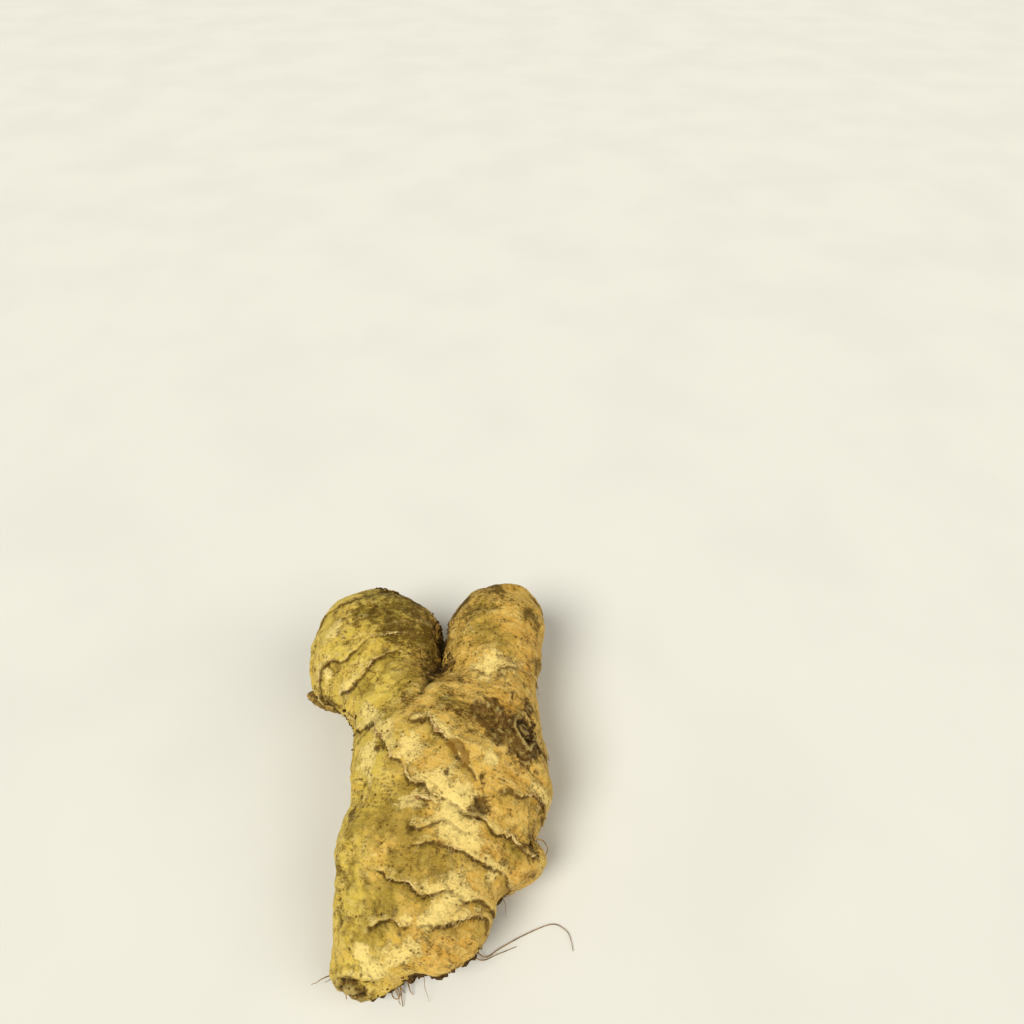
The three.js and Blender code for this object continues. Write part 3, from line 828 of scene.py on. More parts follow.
def rootlet(start, way, reach, thick, seed):
    """A thin dry root: a walk whose direction wanders by noise and sags towards the table."""
    steps = max(8, int(reach / 0.6))
    share = np.linspace(0.0, 1.0, steps)
    same = np.ones(steps)
    moved = share * reach / 2.2 + 7.3 * seed
    trails = [np.stack([moved, n * same, seed * same], axis=1) for n in range(3)]
    wander = np.stack([noise(trail, 1.0, n) for n, trail in enumerate(trails)], axis=1)
    ways = way + 0.9 * wander * share[:, None] - np.array([0, 0, 0.7]) * share[:, None]
    ways /= np.linalg.norm(ways, axis=1)[:, None]
    path = start + np.cumsum(ways, axis=0) * reach / steps
    path[:, 2] = np.maximum(path[:, 2], thick * 0.6)
    return tube(path, thick * (0.5 - 0.32 * share), 6, 0.12, seed)


FREE_ROOTLETS = 64  # rootlets set by chance, low on the sides
ROOTLET_HEIGHTS = (1.0, 7.5)  # between which they grow
NEAR_END = -35.0  # the Y below which a place is four times as likely to have one

# Rootlets set one by one: their points and their thickness.
SET_ROOTLETS = [
    ([(14, -44, 3), (17.6, -47, 0.6), (21.4, -45, 0.4), (27.4, -42, 0.4), (34.1, -39.6, 0.4),
      (37.5, -41, 0.4), (38.6, -43, 0.4), (39.0, -45.6, 0.4)], 0.3),
    ([(13, -46, 2.4), (17.0, -47.6, 0.5), (20.5, -46.4, 0.3), (25.4, -44.6, 0.3)], 0.3),
    ([(-2.0, -52, 2.6), (-1.4, -54.6, 1.2), (-0.8, -57.2, 0.4)], 0.4),
    ([(-0.2, -52, 2.6), (0.6, -54.0, 1.0), (1.4, -54.8, 0.4)], 0.34),
    ([(-3.2, -52, 3), (-3.4, -55.0, 1.8), (-2.2, -55.8, 1.0), (-1.4, -54.4, 0.8)], 0.36),
    ([(30.2, -26.4, 18.6), (31.8, -26.9, 18.8), (32.9, -28.2, 17.6), (32.4, -29.4, 16.4)], 0.4),
]


def free_rootlets(points, outward, thick):
    """Rootlets set by chance where the skin is low and steep, most of them at the near end."""
    draw = np.random.default_rng(21)
    low = (points[:, 2] > ROOTLET_HEIGHTS[0]) & (points[:, 2] < ROOTLET_HEIGHTS[1])
    weights = low * (outward[:, 2] < 0.1) * (1.0 + 3.0 * (points[:, 1] < NEAR_END)) + 1e-9
    weights /= weights.sum()
    threads = []
    for n, k in enumerate(draw.choice(len(points), FREE_ROOTLETS, replace=False, p=weights)):
        reach = 2.0 + 6.0 * draw.random() ** 2
        wide = thick * (0.45 + 0.7 * draw.random())
        threads.append(rootlet(points[k] - outward[k] * 0.4, outward[k], reach, wide, 150 + n))
    return threads


# ---------------------------------------------------------------- scale edges

MIDDLE_HEIGHT = 17.0  # of the body, where the planes of the rings are searched from
RING_POINTS = 420  # points round a ring
SPAN_POINTS = (9, 30)  # least length of a strip and what it stays under, counted in those points
GAP_POINTS = (6, 34)
FIRST_POINTS = 12  # the first strip of a ring starts before this point
WIDEST_STEP = 1.4  # distance between two of those points past which a strip would tear
LINE_MISS = 1.2  # how far off its ring's line a point may end
LINE_LOW = 1.5  # least height of a strip over the table
FIBRE_SHARE = 0.26  # how many of the places for a fibre have one
FIBRE_THICK = 0.06


def ring_line(at, direction, reach, turns):
    """Points where a ring's line crosses the skin, for turns round the middle of its plane."""
    sideways = np.cross(direction, [0.0, 0.0, 1.0])
    centre = np.array([at[0], at[1], MIDDLE_HEIGHT])
    ways = np.cos(turns)[:, None] * sideways + np.sin(turns)[:, None] * np.array([0.0, 0.0, 1.0])
    far = np.arange(0.5, 45.0, 0.5)
    line = centre + ways[:, None] * far[None, :, None]
    outside = body(line.reshape(-1, 3)).reshape(len(turns), -1) >= 0
    points = line[np.arange(len(turns)), np.argmax(outside, axis=1)]
    for _ in range(3):
        points = onto_body(points, 1)[0]
        off = (points - at) @ direction + waver(points) + scallops(points)
        points = points - direction * (0.8 * off)[:, None]
    points, outward = onto_body(points, 2)
    off = np.abs((points - at) @ direction + waver(points) + scallops(points))
    near = np.linalg.norm(points - at, axis=1) < 0.9 * reach
    return points, outward, near & outside.any(axis=1) & (off < LINE_MISS) & (points[:, 2] > LINE_LOW)


def scale_strip(points, outward, direction, widths, rise, thickness, seed):
    """A papery strip on a ring: rooted under the step, reaching back over the skin and curling up."""
    across = np.linspace(0.0, 1.0, 5)
    back = -direction - outward * (outward @ -direction)[:, None]
    back /= np.linalg.norm(back, axis=1)[:, None]
    ragged = np.clip(widths * (0.75 + 0.9 * noise(points, 0.9, seed)), 0.1, None)
    curl = 0.35 + 0.3 * noise(points, 2.5, seed + 1)
    reach = across[None, :, None] * (ragged[:, None] * back)[:, None]
    lift = rise * 0.75 + 0.05 - 0.25 * rise * across[None, :]
    lift = lift + curl[:, None] * across[None, :] ** 2 * 0.5
    upper = points[:, None] - 0.35 * back[:, None] + reach + lift[..., None] * outward[:, None]
    lower = upper - outward[:, None] * thickness
    section = np.concatenate([upper, lower[:, ::-1]], axis=1)
    poles = [section[0].mean(axis=0, keepdims=True), section[-1].mean(axis=0, keepdims=True)]
    return np.concatenate([section.reshape(-1, 3), *poles]), tube_faces(len(points), section.shape[1])


def ring_fibres(points, outward, direction, good, draw, seed):
    """Fine fibres left by a scale: bowed tubes from the ring's line back over the skin."""
    fibres = []
    for k in np.flatnonzero(good)[::3]:
        if draw.random() > FIBRE_SHARE:
            continue
        reach, share = 0.6 + 2.2 * draw.random() ** 3, np.linspace(0.0, 1.0, 9)[:, None]
        sideways = np.cross(outward[k], direction) * (draw.random() - 0.5) * 3.2
        way = sideways - direction
        way = way - outward[k] * (way @ outward[k])
        way /= np.linalg.norm(way)
        curl = np.cross(way, outward[k]) * (draw.random() - 0.5)
        path = points[k] + way * share * reach + curl * share ** 2 * reach
        path, normal = onto_body(path, 2)
        path = path + normal * (0.35 + 0.5 * draw.random() * share)
        path[:, 2] = np.maximum(path[:, 2], 0.3)
        fibres.append(tube(path, FIBRE_THICK * (1.0 - 0.5 * share[:, 0]), 5, 0.1, seed))
    return fibres


def outward_side(points, faces):
    """Faces turned so that the closed shape's volume counts as positive."""
    a, b, c = points[faces[:, 0]], points[faces[:, 1]], points[faces[:, 2]]
    d = points[faces[:, 3]]
    volume = np.sum(a * np.cross(b, c)) + np.sum(a * np.cross(c, d))
    return faces if volume > 0 else faces[:, [0, 3, 2, 1]]


def scale_strips(settings, rise):
    """Strips along parts of every ring, a few millimetres long, with gaps and fibres between them."""
    draw = np.random.default_rng(5)
    strips = []
    for n, (at, direction, reach, share) in enumerate(RINGS):
        turns = np.linspace(0.0, 2 * np.pi, RING_POINTS, endpoint=False)
        points, outward, good = ring_line(at, direction, reach, turns)
        strips += ring_fibres(points, outward, direction, good, draw, 200 + n)
        start = int(draw.integers(0, FIRST_POINTS))
        while start <= RING_POINTS - SPAN_POINTS[0]:
            span = int(draw.integers(*SPAN_POINTS))
            chosen = slice(start, min(start + span, RING_POINTS))
            start += span + int(draw.integers(*GAP_POINTS))
            gap = np.linalg.norm(np.diff(points[chosen], axis=0), axis=1)
            rubbed = np.linalg.norm(points[chosen] - RUBBED, axis=1).min() < RUBBED_REACH
            if not good[chosen].all() or gap.max() > WIDEST_STEP or rubbed:
                continue
            taper = np.sin(np.linspace(0.15, np.pi - 0.15, len(gap) + 1)) ** 0.6
            widths = settings.width / MM * taper * (0.45 + 0.55 * draw.random()) * (0.5 + 0.5 * share)
            made = scale_strip(points[chosen], outward[chosen], direction, widths, rise * share,
                               settings.thickness / MM, 80 + n)
            strips.append((made[0], outward_side(*made)))
    return strips


# ---------------------------------------------------------------- soil

def crumb_shapes():
    """Balls of 12 and 42 points: an icosahedron, and one with its faces split and pushed out."""
    t = (1 + math.sqrt(5)) / 2
    points = [(-1, t, 0), (1, t, 0), (-1, -t, 0), (1, -t, 0), (0, -1, t), (0, 1, t),
              (0, -1, -t), (0, 1, -t), (t, 0, -1), (t, 0, 1), (-t, 0, -1), (-t, 0, 1)]
    points = [np.array(p) / math.hypot(1, t) for p in points]
    faces = [(a, b, c) for a in range(12) for b in range(a + 1, 12) for c in range(b + 1, 12)
             if max(np.linalg.norm(points[a] - points[b]), np.linalg.norm(points[b] - points[c]),
                    np.linalg.norm(points[a] - points[c])) < 1.1]
    faces = [f if np.cross(points[f[1]] - points[f[0]], points[f[2]] - points[f[0]]) @ points[f[0]] > 0
             else (f[0], f[2], f[1]) for f in faces]
    small = np.array(points), np.array([(a, b, c, c) for a, b, c in faces])
    middles = {}

    def middle(a, b):
        """The point halfway between two points, pushed out to the ball."""
        pair = (min(a, b), max(a, b))
        if pair not in middles:
            middles[pair] = len(points)
            point = points[a] + points[b]
            points.append(point / np.linalg.norm(point))
        return middles[pair]

    split = []
    for a, b, c in faces:
        ab, bc, ca = middle(a, b), middle(b, c), middle(c, a)
        split += [(a, ab, ca), (b, bc, ab), (c, ca, bc), (ab, bc, ca)]
    return small, (np.array(points), np.array([(a, b, c, c) for a, b, c in split]))


def soil_near(points, places):
    """How thick soil lies: a Gaussian of the distance to each place, summed."""
    return sum(np.exp(-((np.linalg.norm(points - np.array(at, float), axis=1) / reach) ** 2) * 1.5)
               for at, reach in places)


def soil_chances(points, dirt_and_shade):
    """How likely a crumb is at each point, by the mark of dirt and painted shade and by place, and how
    much larger it is there.
    """
    weights = 0.5 * np.maximum(dirt_and_shade - 0.25, 0.0) ** 1.5
    lumpy = soil_near(points, LUMPY_SOIL)
    weights += 1.2 * (lumpy + soil_near(points, CRUMBLY_SOIL))
    weights = weights * (points[:, 2] > 0.3) + 1e-9
    return weights, 1.0 + LUMP_GAIN * np.minimum(lumpy, 1.0)


def soil_crumbs(points, outward, weights, gain, settings):
    """Crumbs set on the skin where the weights are high: balls squashed and dented by noise."""
    draw = np.random.default_rng(9)
    small, large = crumb_shapes()
    chosen = draw.choice(len(points), settings.crumbs, replace=False, p=weights / weights.sum())
    crumbs = []
    for n, k in enumerate(chosen):
        size = settings.size / MM * (0.11 + 0.89 * draw.random() ** 6) * gain[k]
        ball, faces = small if size < SMALL_CRUMB else large
        squash = 0.5 + 0.7 * draw.random(3)
        dents = 1.0 + 0.4 * noise(ball + 5.0 * n, 0.8, 90)
        shape = ball * squash * dents[:, None] * size * 0.5
        centre = points[k] - outward[k] * size * 0.05
        centre[2] = max(centre[2], size * 0.6)
        crumb = centre + shape
        crumb[:, 2] = np.maximum(crumb[:, 2], 0.0)
        crumbs.append((crumb, faces))
    return crumbs


# ---------------------------------------------------------------- meshes

def make_mesh(name, points, faces, marks=None):
    """A mesh in the frame's metres from growth-frame points and rows of four corners."""
    mesh = bpy.data.meshes.new(name)
    triangle = faces[:, 2] == faces[:, 3]
    sizes = np.where(triangle, 3, 4)
    used = np.ones(faces.shape, bool)
    used[:, 3] = ~triangle
    corners = faces[used]
    mesh.vertices.add(len(points))
    mesh.vertices.foreach_set("co", ((points + CENTRING) * MM).astype(np.float32).ravel())
    mesh.loops.add(len(corners))
    mesh.loops.foreach_set("vertex_index", corners.astype(np.int32))
    mesh.polygons.add(len(faces))
    starts = np.concatenate([[0], np.cumsum(sizes)[:-1]])
    mesh.polygons.foreach_set("loop_start", starts.astype(np.int32))
    mesh.update(calc_edges=True)
    mesh.validate()
    mesh.polygons.foreach_set("use_smooth", np.ones(len(mesh.polygons), bool))
    for mark, values in (marks or {}).items():
        kind, key = ("FLOAT_VECTOR", "vector") if values.ndim > 1 else ("FLOAT", "value")
        layer = mesh.attributes.new(mark, kind, "POINT")
        layer.data.foreach_set(key, values.astype(np.float32).ravel())
    return mesh


def mesh_points(mesh):
    """A piece's points in the growth frame, in millimetres, and its outward directions."""
    points = np.empty(len(mesh.vertices) * 3, np.float32)
    outward = np.empty_like(points)
    mesh.vertices.foreach_get("co", points)
    mesh.vertex_normals.foreach_get("vector", outward)
    return points.reshape(-1, 3).astype(float) / MM - CENTRING, outward.reshape(-1, 3).astype(float)


def place_piece(name, mesh, material):
    """Puts a finished mesh in the scene as a piece of the rhizome."""
    piece = bpy.data.objects.new(name, mesh)
    bpy.context.scene.collection.objects.link(piece)
    mesh.materials.append(material)
    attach(piece, "root")
    return piece


# ---------------------------------------------------------------- finishes

class Wire:
    """A node's output that Python's operators add Math nodes to."""

    def __init__(self, finish, socket):
        self.finish, self.socket = finish, socket

    def _math(self, operation, *values):
        """A Math node on wires and numbers."""
        return self.finish.node("Math", {"operation": operation}, dict(enumerate(values)))

    def __add__(self, other):
        return self._math("ADD", self, other)

    def __sub__(self, other):
        return self._math("SUBTRACT", self, other)

    def __rsub__(self, other):
        return self._math("SUBTRACT", other, self)

    def __mul__(self, other):
        return self._math("MULTIPLY", self, other)

    __radd__ = __add__
    __rmul__ = __mul__

    def clipped(self):
        """The value kept from 0 to 1."""
        return self._math("MINIMUM", self._math("MAXIMUM", self, 0.0), 1.0)

    def top(self, other):
        """The larger of two values."""
        return self._math("MAXIMUM", self, other)

    def rise(self, low, high):
        """Goes smoothly from 0 at low to 1 at high, or from 1 down to 0 if low is above high."""
        ends = {"From Min": min(low, high), "From Max": max(low, high),
                "To Min": float(low > high), "To Max": float(low < high), "Value": self}
        return self.finish.node("MapRange", {"interpolation_type": "SMOOTHSTEP"}, ends)


class Finish:
    """A material with one Principled shader, and the ways its nodes are made."""

    def __init__(self, name, roughness, **constants):
        self.material = bpy.data.materials.new(name)
        self.material.use_nodes = True
        self.tree = self.material.node_tree
        self.shader = next(node for node in self.tree.nodes if node.type == "BSDF_PRINCIPLED")
        self.shader.inputs["Roughness"].default_value = roughness
        for socket, value in constants.items():
            self.shader.inputs[socket.replace("_", " ")].default_value = value
        self.place = self.node("TexCoord", {}, {}, "Object")

    def node(self, kind, settings, inputs, output=0):
        """Adds one node: its settings first, then values or links into its sockets."""
        node = self.tree.nodes.new("ShaderNode" + kind)
        for setting, value in settings.items():
            setattr(node, setting, value)
        for socket, value in inputs.items():
            if isinstance(value, Wire):
                self.tree.links.new(value.socket, node.inputs[socket])
            else:
                node.inputs[socket].default_value = value
        return Wire(self, node.outputs[output])

    def mark(self, name, output="Fac"):
        """A value that the mesh carries at its points."""
        return self.node("Attribute", {"attribute_name": name}, {}, output)

    def noise(self, size, detail=2.0, rough=0.5, place=None):
        """Noise with waves of a size in millimetres."""
        scale = 1.0 / size if place else 1.0 / (size * MM)
        inputs = {"Vector": place or self.place, "Scale": scale, "Detail": detail, "Roughness": rough}
        return self.node("TexNoise", {}, inputs)

    def dots(self, size, output="Distance"):
        """Distance to scattered points, one per cell of a size in millimetres, in cells."""
        return self.node("TexVoronoi", {}, {"Vector": self.place, "Scale": 1.0 / (size * MM)}, output)

    def stretched(self, place, stretch):
        """A place scaled by a vector."""
        return self.node("VectorMath", {"operation": "MULTIPLY"}, {0: place, 1: stretch})

    def mix(self, share, first, second):
        """A colour part of the way from the first to the second."""
        values = [part if isinstance(part, Wire) else (*part, 1.0) for part in (first, second)]
        return self.node("Mix", {"data_type": "RGBA"}, {0: share, 6: values[0], 7: values[1]}, 2)

    def shade(self, colour_wire, share, amount):
        """A colour made darker by an amount where the share is 1."""
        return self.mix(share * amount, colour_wire, (0.0, 0.0, 0.0))

    def finish(self, colour_wire, roughness=None, height=None, depth=0.1):
        """Joins colour, roughness and a bump of a depth in millimetres to the shader."""
        self.tree.links.new(colour_wire.socket, self.shader.inputs["Base Color"])
        if roughness is not None:
            self.tree.links.new(roughness.socket, self.shader.inputs["Roughness"])
        if height is not None:
            bump = self.node("Bump", {}, {"Strength": 1.0, "Distance": depth * MM, "Height": height})
            self.tree.links.new(bump.socket, self.shader.inputs["Normal"])
        return self.material


def skin_finish(settings):
    """Thin dry skin: patches of buff, straw and ochre under stains, plates, scars, specks and dirt."""
    skin = Finish("ginger_skin", 0.7, Specular_IOR_Level=0.12)
    wide, patch = skin.noise(13.0, 3.0, 0.5), skin.noise(5.0, 4.0, 0.6)
    mottle, fine = skin.noise(1.7, 5.0, 0.68), skin.noise(0.55, 3.0, 0.6)
    round_body = skin.stretched(skin.mark("grain", "Vector"), (0.2, 0.2, 1.0))
    folds, scratches = skin.noise(1.1, 4.0, 0.65, round_body), skin.noise(0.42, 3.0, 0.7, round_body)

    # Wide patches of colour, yellower to the left, and a pale grain.
    warm = skin.mark("ochre") * 0.6 + (patch * 0.7 + mottle * 0.5).rise(0.5, 0.85) * 0.5
    across = skin.node("SeparateXYZ", {}, {0: skin.place}) * (1.0 / MM)
    yellow = across.rise(16.0, -16.0) * 0.9 + (wide - 0.5) * 1.6 + (patch - 0.5) * 0.6
    tone = skin.mix(yellow.rise(0.15, 0.85) * 0.8, tuple(settings.buff), tuple(settings.straw))
    tone = skin.mix(warm.clipped(), tone, tuple(settings.ochre))
    tone = skin.mix((folds * 0.6 + mottle * 0.4).rise(0.42, 0.62) * 0.4, tone, tuple(settings.pale))

    # Damp stains and bands, with painted shade in the stains on the knob's and finger's tops, and dry
    # plates, with painted highlight on a few bright spots.
    broken = (patch - 0.5) * 1.1 + (mottle - 0.5) * 1.5
    olive = (skin.mark("olive") * 0.88 + broken + (folds - 0.5) * 0.9).rise(0.12, 0.9)
    tone = skin.mix(olive * 0.78, tone, tuple(settings.olive))
    band = (skin.mark("band") + (mottle - 0.5) * 1.2).rise(0.15, 0.6)
    tone = skin.mix(band * 0.48, tone, tuple(settings.olive))
    plate = skin.mark("pale") * 0.75 + skin.mark("lip") * 0.45
    plate = (plate + (patch - 0.5) * 0.6 + (mottle - 0.5) * 1.3).rise(0.26, 0.5)
    tone = skin.mix(plate * 0.66, tone, tuple(settings.pale))

    # Lines of the rings.
    ahead, strength = skin.mark("ring"), skin.mark("ring_strength")
    frayed = ahead + (fine - 0.5) * 0.7 + (mottle - 0.5) * 0.6
    shown = (strength + (patch - 0.5) * 1.3).rise(0.05, 0.55)
    line = frayed.rise(-0.85, -0.35) * frayed.rise(0.15, -0.1) * shown
    tone = skin.mix(line * 0.8, tone, tuple(settings.umber))

    # Scurf, blotches, grime and painted shade, pale dry skin, and scars with flakes on them.
    scurf = scratches * 0.5 + mottle * 0.35 + (patch - 0.5) * 0.3 + skin.mark("ochre") * 0.03
    tone = skin.mix(scurf.rise(0.45, 0.56) * 0.55, tone, tuple(settings.umber))
    blotches = (skin.noise(2.4, 4.0, 0.7) * 0.75 + folds * 0.25).rise(0.5, 0.6)
    tone = skin.mix(blotches * 0.42, tone, tuple(settings.grime_and_shade))
    # Grime, and painted shade on the knob and the finger, where the grime marks are.
    grime_and_shade = skin.mark("grime_and_shade") * 0.9 + broken + (scratches - 0.5) * 1.3 + (fine - 0.5) * 0.8
    tone = skin.mix(grime_and_shade.rise(0.22, 1.0) * 0.88, tone, tuple(settings.grime_and_shade))
    # Palest where the pale marks are strongest: pale dry skin, and on the brightest spots a painted
    # highlight.
    tone = skin.mix(skin.mark("pale").rise(0.6, 1.0) * 0.45, tone, tuple(settings.pale))
    scar = (skin.mark("umber") * 1.0 + (mottle - 0.5) * 1.9 + (fine - 0.5) * 0.5).rise(0.25, 0.75)
    tone = skin.mix(scar * 0.88, tone, tuple(settings.umber))
    flakes = (skin.noise(0.9, 3.0, 0.7) * 0.7 + folds * 0.3).rise(0.52, 0.6)
    flakes = flakes * skin.mark("umber").rise(0.15, 0.5)
    tone = skin.mix(flakes * 0.5, tone, tuple(settings.buff))

    # Specks and pits.
    pocks = skin.dots(0.95, "Color") * 0.3
    specks = (skin.dots(0.95) + (fine - 0.5) * 0.5 + pocks).rise(0.46, 0.28)
    specks = specks * (patch * 0.6 + mottle * 0.4).rise(0.42, 0.56)
    holes = skin.mark("pit").rise(0.15, 0.8)
    tone = skin.mix((specks * 0.6).top(holes * 0.8), tone, tuple(settings.umber))

    # Wrinkles round the eyes.
    eye = skin.mark("eye")
    turn = eye * WRINKLE_TURNS + skin.mark("askew") + (mottle - 0.5) * 4.0
    arcs = (skin.node("Math", {"operation": "SINE"}, {0: turn}) * 0.5 + 0.5).rise(0.35, 0.8)
    around = eye.rise(4.5, 2.5) * patch.rise(0.25, 0.5)
    around = around.top(eye.rise(10.0, 6.0) * skin.mark("umber").rise(0.3, 0.8))
    around = around * (mottle * 0.6 + patch * 0.4).rise(0.42, 0.6)
    tone = skin.mix(arcs * around * 0.65, tone, tuple(settings.umber))
    tone = skin.mix((1.0 - arcs) * around * 0.16, tone, tuple(settings.pale))

    # Painted shade in the dips, painted highlight on the raised edges, rubbed spots, and dirt with
    # painted shade in the crease, low near the table and in the dips.
    dip = skin.mark("dip")
    tone = skin.shade(tone, dip.rise(0.05, 0.8), 0.55)
    tone = skin.mix(dip.rise(-0.08, -0.8) * 0.35, tone, tuple(settings.pale))
    spot = (skin.mark("spot") + (mottle - 0.5) * 0.4).rise(0.4, 0.6)
    tone = skin.mix(spot * 0.8, tone, tuple(settings.spot))
    # Dark earth colour for dirt, and for painted shade in the crease, low near the table and in the
    # dips.
    dirt_and_shade = (skin.mark("dirt_and_shade") + (mottle - 0.5) * 1.1 + (fine - 0.5) * 0.6).rise(0.42, 0.95)
    tone = skin.mix(dirt_and_shade * 0.85, tone, tuple(settings.earth_and_shade))
    tone = skin.shade(tone, fine.rise(0.5, 0.75), 0.34)

    roughness = 0.6 + mottle * 0.25 + dirt_and_shade * 0.12
    height = fine * 0.5 + mottle * 1.1 + folds * 0.7 + scratches * 0.3 - specks * 0.4
    height = height + plate * 0.25 - scar * 0.15 - arcs * around * 0.6 + flakes * 0.8
    return skin.finish(tone, roughness, height, 0.38)


def root_finish(name, bark, cork):
    """Dry root: bark with fine lines and lighter cork where noise wears it."""
    root = Finish(name, 0.8, Specular_IOR_Level=0.25)
    coarse, fine = root.noise(1.6, 3.0, 0.6), root.noise(0.4, 3.0, 0.6)
    tone = root.mix(coarse.rise(0.4, 0.66), tuple(bark), tuple(cork))
    tone = root.shade(tone, fine.rise(0.45, 0.75), 0.45)
    return root.finish(tone, 0.72 + coarse * 0.2, fine + coarse * 0.4, 0.15)


def soil_finish(settings):
    """Dry soil: dark and lighter grains."""
    soil = Finish("ginger_soil", 0.95, Specular_IOR_Level=0.1)
    grains = soil.noise(0.35, 3.0, 0.7)
    tone = soil.mix(grains.rise(0.4, 0.7), tuple(settings.wet), tuple(settings.dry))
    return soil.finish(tone, None, grains, 0.1)


def floor_finish(tone):
    """Matte floor with a barely uneven tone."""
    floor = Finish("studio_floor", 0.85, Specular_IOR_Level=0.2)
    cloud = floor.noise(60.0, 2.0, 0.5)
    return floor.finish(floor.mix(cloud.rise(0.3, 0.7) * 0.04, tuple(tone), (0.0, 0.0, 0.0)))


# ---------------------------------------------------------------- stage

KEY_FROM = (-0.53, -0.62, 0.975)  # directions that the two lights come from
FILL_FROM = (0.99, -0.44, 0.865)
KEY_TINT = (1.0, 0.98, 0.91)
FILL_TINT = (1.0, 0.97, 0.88)
SKY_TINT = (1.0, 0.975, 0.9, 1.0)
SENSOR_WIDTH = 36.0  # in millimetres, as the focal length is
CLIP_START = 0.01  # in metres, nearer than anything in view


def lay_floor(half, tone):
    """A square floor at the table's height, which reaches half of its width to every side."""
    mesh = bpy.data.meshes.new("floor")
    corners = [(-half, -half, 0), (half, -half, 0), (half, half, 0), (-half, half, 0)]
    mesh.from_pydata(corners, [], [(0, 1, 2, 3)])
    mesh.materials.append(floor_finish(tone))
    floor = bpy.data.objects.new("floor", mesh)
    bpy.context.scene.collection.objects.link(floor)


def soft_light(name, towards, spread, strength, tint):
    """An even light from one direction, spread over an angle, so that its shadows are soft."""
    lamp = bpy.data.lights.new(name, "SUN")
    lamp.angle, lamp.energy, lamp.color = spread, strength, tint
    light = bpy.data.objects.new(name, lamp)
    light.location = towards
    away = np.array(towards)
    tilt, turn = math.acos(away[2] / np.linalg.norm(away)), math.atan2(away[0], -away[1])
    light.rotation_euler = (tilt, 0.0, turn)
    bpy.context.scene.collection.objects.link(light)


def set_sky(strength):
    """Even light from all around, and colours shown without a film look."""
    world = bpy.data.worlds.new("studio")
    world.use_nodes = True
    sky = world.node_tree.nodes["Background"]
    sky.inputs["Color"].default_value = SKY_TINT
    sky.inputs["Strength"].default_value = strength
    bpy.context.scene.world = world
    bpy.context.scene.view_settings.view_transform = "Standard"


def set_camera(settings):
    """A camera that looks along +Y and down by its pitch."""
    lens = bpy.data.cameras.new("camera")
    lens.lens, lens.sensor_width, lens.clip_start = settings.focal, SENSOR_WIDTH, CLIP_START
    camera = bpy.data.objects.new("camera", lens)
    camera.location = settings.camera_at
    camera.rotation_euler = (math.pi / 2 - settings.pitch, 0.0, 0.0)
    bpy.context.scene.collection.objects.link(camera)
    bpy.context.scene.camera = camera


# ---------------------------------------------------------------- operators

class GINGER_OT_skin(bpy.types.Operator):
    """Weave the skin over the whole rhizome, with rings, eyes, pits and grain"""
    bl_idname = "ginger.skin"
    bl_label = "Skin"

    def execute(self, context):
        settings = context.scene.ginger_skin
        points, quads, marks = skin_shape(settings)
        mesh = make_mesh("skin", points, quads, marks)
        piece = place_piece("skin", mesh, skin_finish(settings))
        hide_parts("rhizome")
        return {"FINISHED"}


class GINGER_OT_root_stubs(bpy.types.Operator):
    """Set the torn root stubs where the solid has them"""
    bl_idname = "ginger.root_stubs"
    bl_label = "Root stubs"

    def execute(self, context):
        settings = context.scene.ginger_roots
        axes = stub_axes(settings.stubs, settings.stub_root / MM)
        stubs = [root_stub(*axis, 100 + n) for n, axis in enumerate(axes)]
        mesh = make_mesh("root_stubs", *gather(stubs))
        finish = root_finish("ginger_root_bark", settings.bark, settings.cork)
        place_piece("root_stubs", mesh, finish)
        return {"FINISHED"}


class GINGER_OT_rootlets(bpy.types.Operator):
    """Grow thin dry rootlets along the lower edge, round the stubs and in the notch"""
    bl_idname = "ginger.rootlets"
    bl_label = "Rootlets"

    def execute(self, context):
        settings = context.scene.ginger_roots
        thick = settings.rootlet / MM
        threads = [tube(curve(line, 30), wide * np.linspace(0.5, 0.22, 30), 6, 0.12, 130 + n)
                   for n, (line, wide) in enumerate(SET_ROOTLETS)]
        points, outward = mesh_points(bpy.data.objects["skin"].data)
        threads += free_rootlets(points, outward, thick)
        mesh = make_mesh("rootlets", *gather(threads))
        finish = root_finish("ginger_rootlet", settings.thread, settings.bark)
        place_piece("rootlets", mesh, finish)
        return {"FINISHED"}


class GINGER_OT_scale_edges(bpy.types.Operator):
    """Lay the papery remains of leaf scales along the growth rings"""
    bl_idname = "ginger.scale_edges"
    bl_label = "Scale edges"

    def execute(self, context):
        settings = context.scene.ginger_scales
        strips = scale_strips(settings, context.scene.ginger_skin.ring_rise / MM)
        mesh = make_mesh("scale_edges", *gather(strips))
        finish = root_finish("ginger_scale", settings.paper, settings.frayed)
        place_piece("scale_edges", mesh, finish)
        return {"FINISHED"}


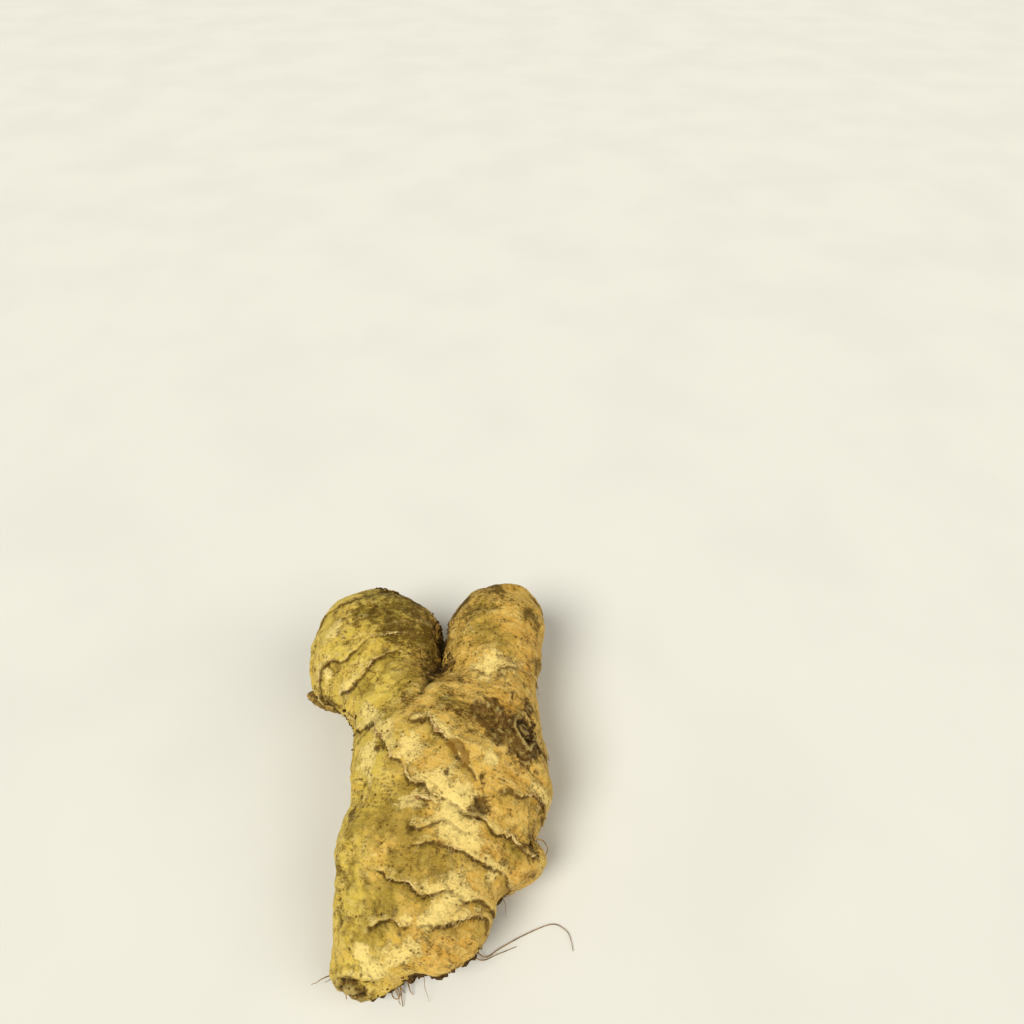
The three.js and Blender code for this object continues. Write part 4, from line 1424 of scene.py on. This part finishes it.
class GINGER_OT_soil(bpy.types.Operator):
    """Scatter crumbs of soil in the creases and low on the sides"""
    bl_idname = "ginger.soil"
    bl_label = "Soil"

    def execute(self, context):
        settings = context.scene.ginger_soil
        skin = bpy.data.objects["skin"].data
        points, outward = mesh_points(skin)
        dirt_and_shade = np.empty(len(points), np.float32)
        skin.attributes["dirt_and_shade"].data.foreach_get("value", dirt_and_shade)
        weights, gain = soil_chances(points, dirt_and_shade)
        crumbs = soil_crumbs(points, outward, weights, gain, settings)
        mesh = make_mesh("soil", *gather(crumbs))
        place_piece("soil", mesh, soil_finish(settings))
        return {"FINISHED"}


class GINGER_OT_stage(bpy.types.Operator):
    """Set the floor, the soft lights and the camera"""
    bl_idname = "ginger.stage"
    bl_label = "Stage"

    def execute(self, context):
        settings = context.scene.ginger_stage
        lay_floor(settings.half_floor, settings.floor)
        key, fill = settings.key_power, settings.key_power * settings.fill_share
        soft_light("key", KEY_FROM, settings.key_spread, key, KEY_TINT)
        soft_light("fill", FILL_FROM, settings.fill_spread, fill, FILL_TINT)
        set_sky(settings.world)
        set_camera(settings)
        return {"FINISHED"}


class GINGER_PT_panel(bpy.types.Panel):
    """Lists the pieces of the rhizome"""
    bl_idname = "GINGER_PT_panel"
    bl_label = "Ginger rhizome"
    bl_space_type = "VIEW_3D"
    bl_region_type = "UI"
    bl_category = "Ginger"

    def draw(self, context):
        for operator in OPERATORS:
            self.layout.operator(operator.bl_idname)


SETTINGS = {
    "ginger_skin": GingerSkin, "ginger_roots": GingerRoots, "ginger_scales": GingerScales,
    "ginger_soil": GingerSoil, "ginger_stage": GingerStage,
}
OPERATORS = [
    GINGER_OT_stage, GINGER_OT_skin, GINGER_OT_root_stubs, GINGER_OT_rootlets, GINGER_OT_scale_edges,
    GINGER_OT_soil,
]


def register():
    """Registers the classes and puts the settings on the scene."""
    for kind in [*SETTINGS.values(), *OPERATORS, GINGER_PT_panel]:
        bpy.utils.register_class(kind)
    for name, kind in SETTINGS.items():
        setattr(bpy.types.Scene, name, bpy.props.PointerProperty(type=kind))


def unregister():
    """Takes the settings and the classes away again."""
    for name in SETTINGS:
        delattr(bpy.types.Scene, name)
    for kind in [GINGER_PT_panel, *reversed(OPERATORS), *SETTINGS.values()]:
        bpy.utils.unregister_class(kind)


def main():
    """Makes the whole scene."""
    register()
    for operator in OPERATORS:
        family, call = operator.bl_idname.split(".")
        getattr(getattr(bpy.ops, family), call)()
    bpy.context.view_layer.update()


if __name__ == "__main__":
    main()
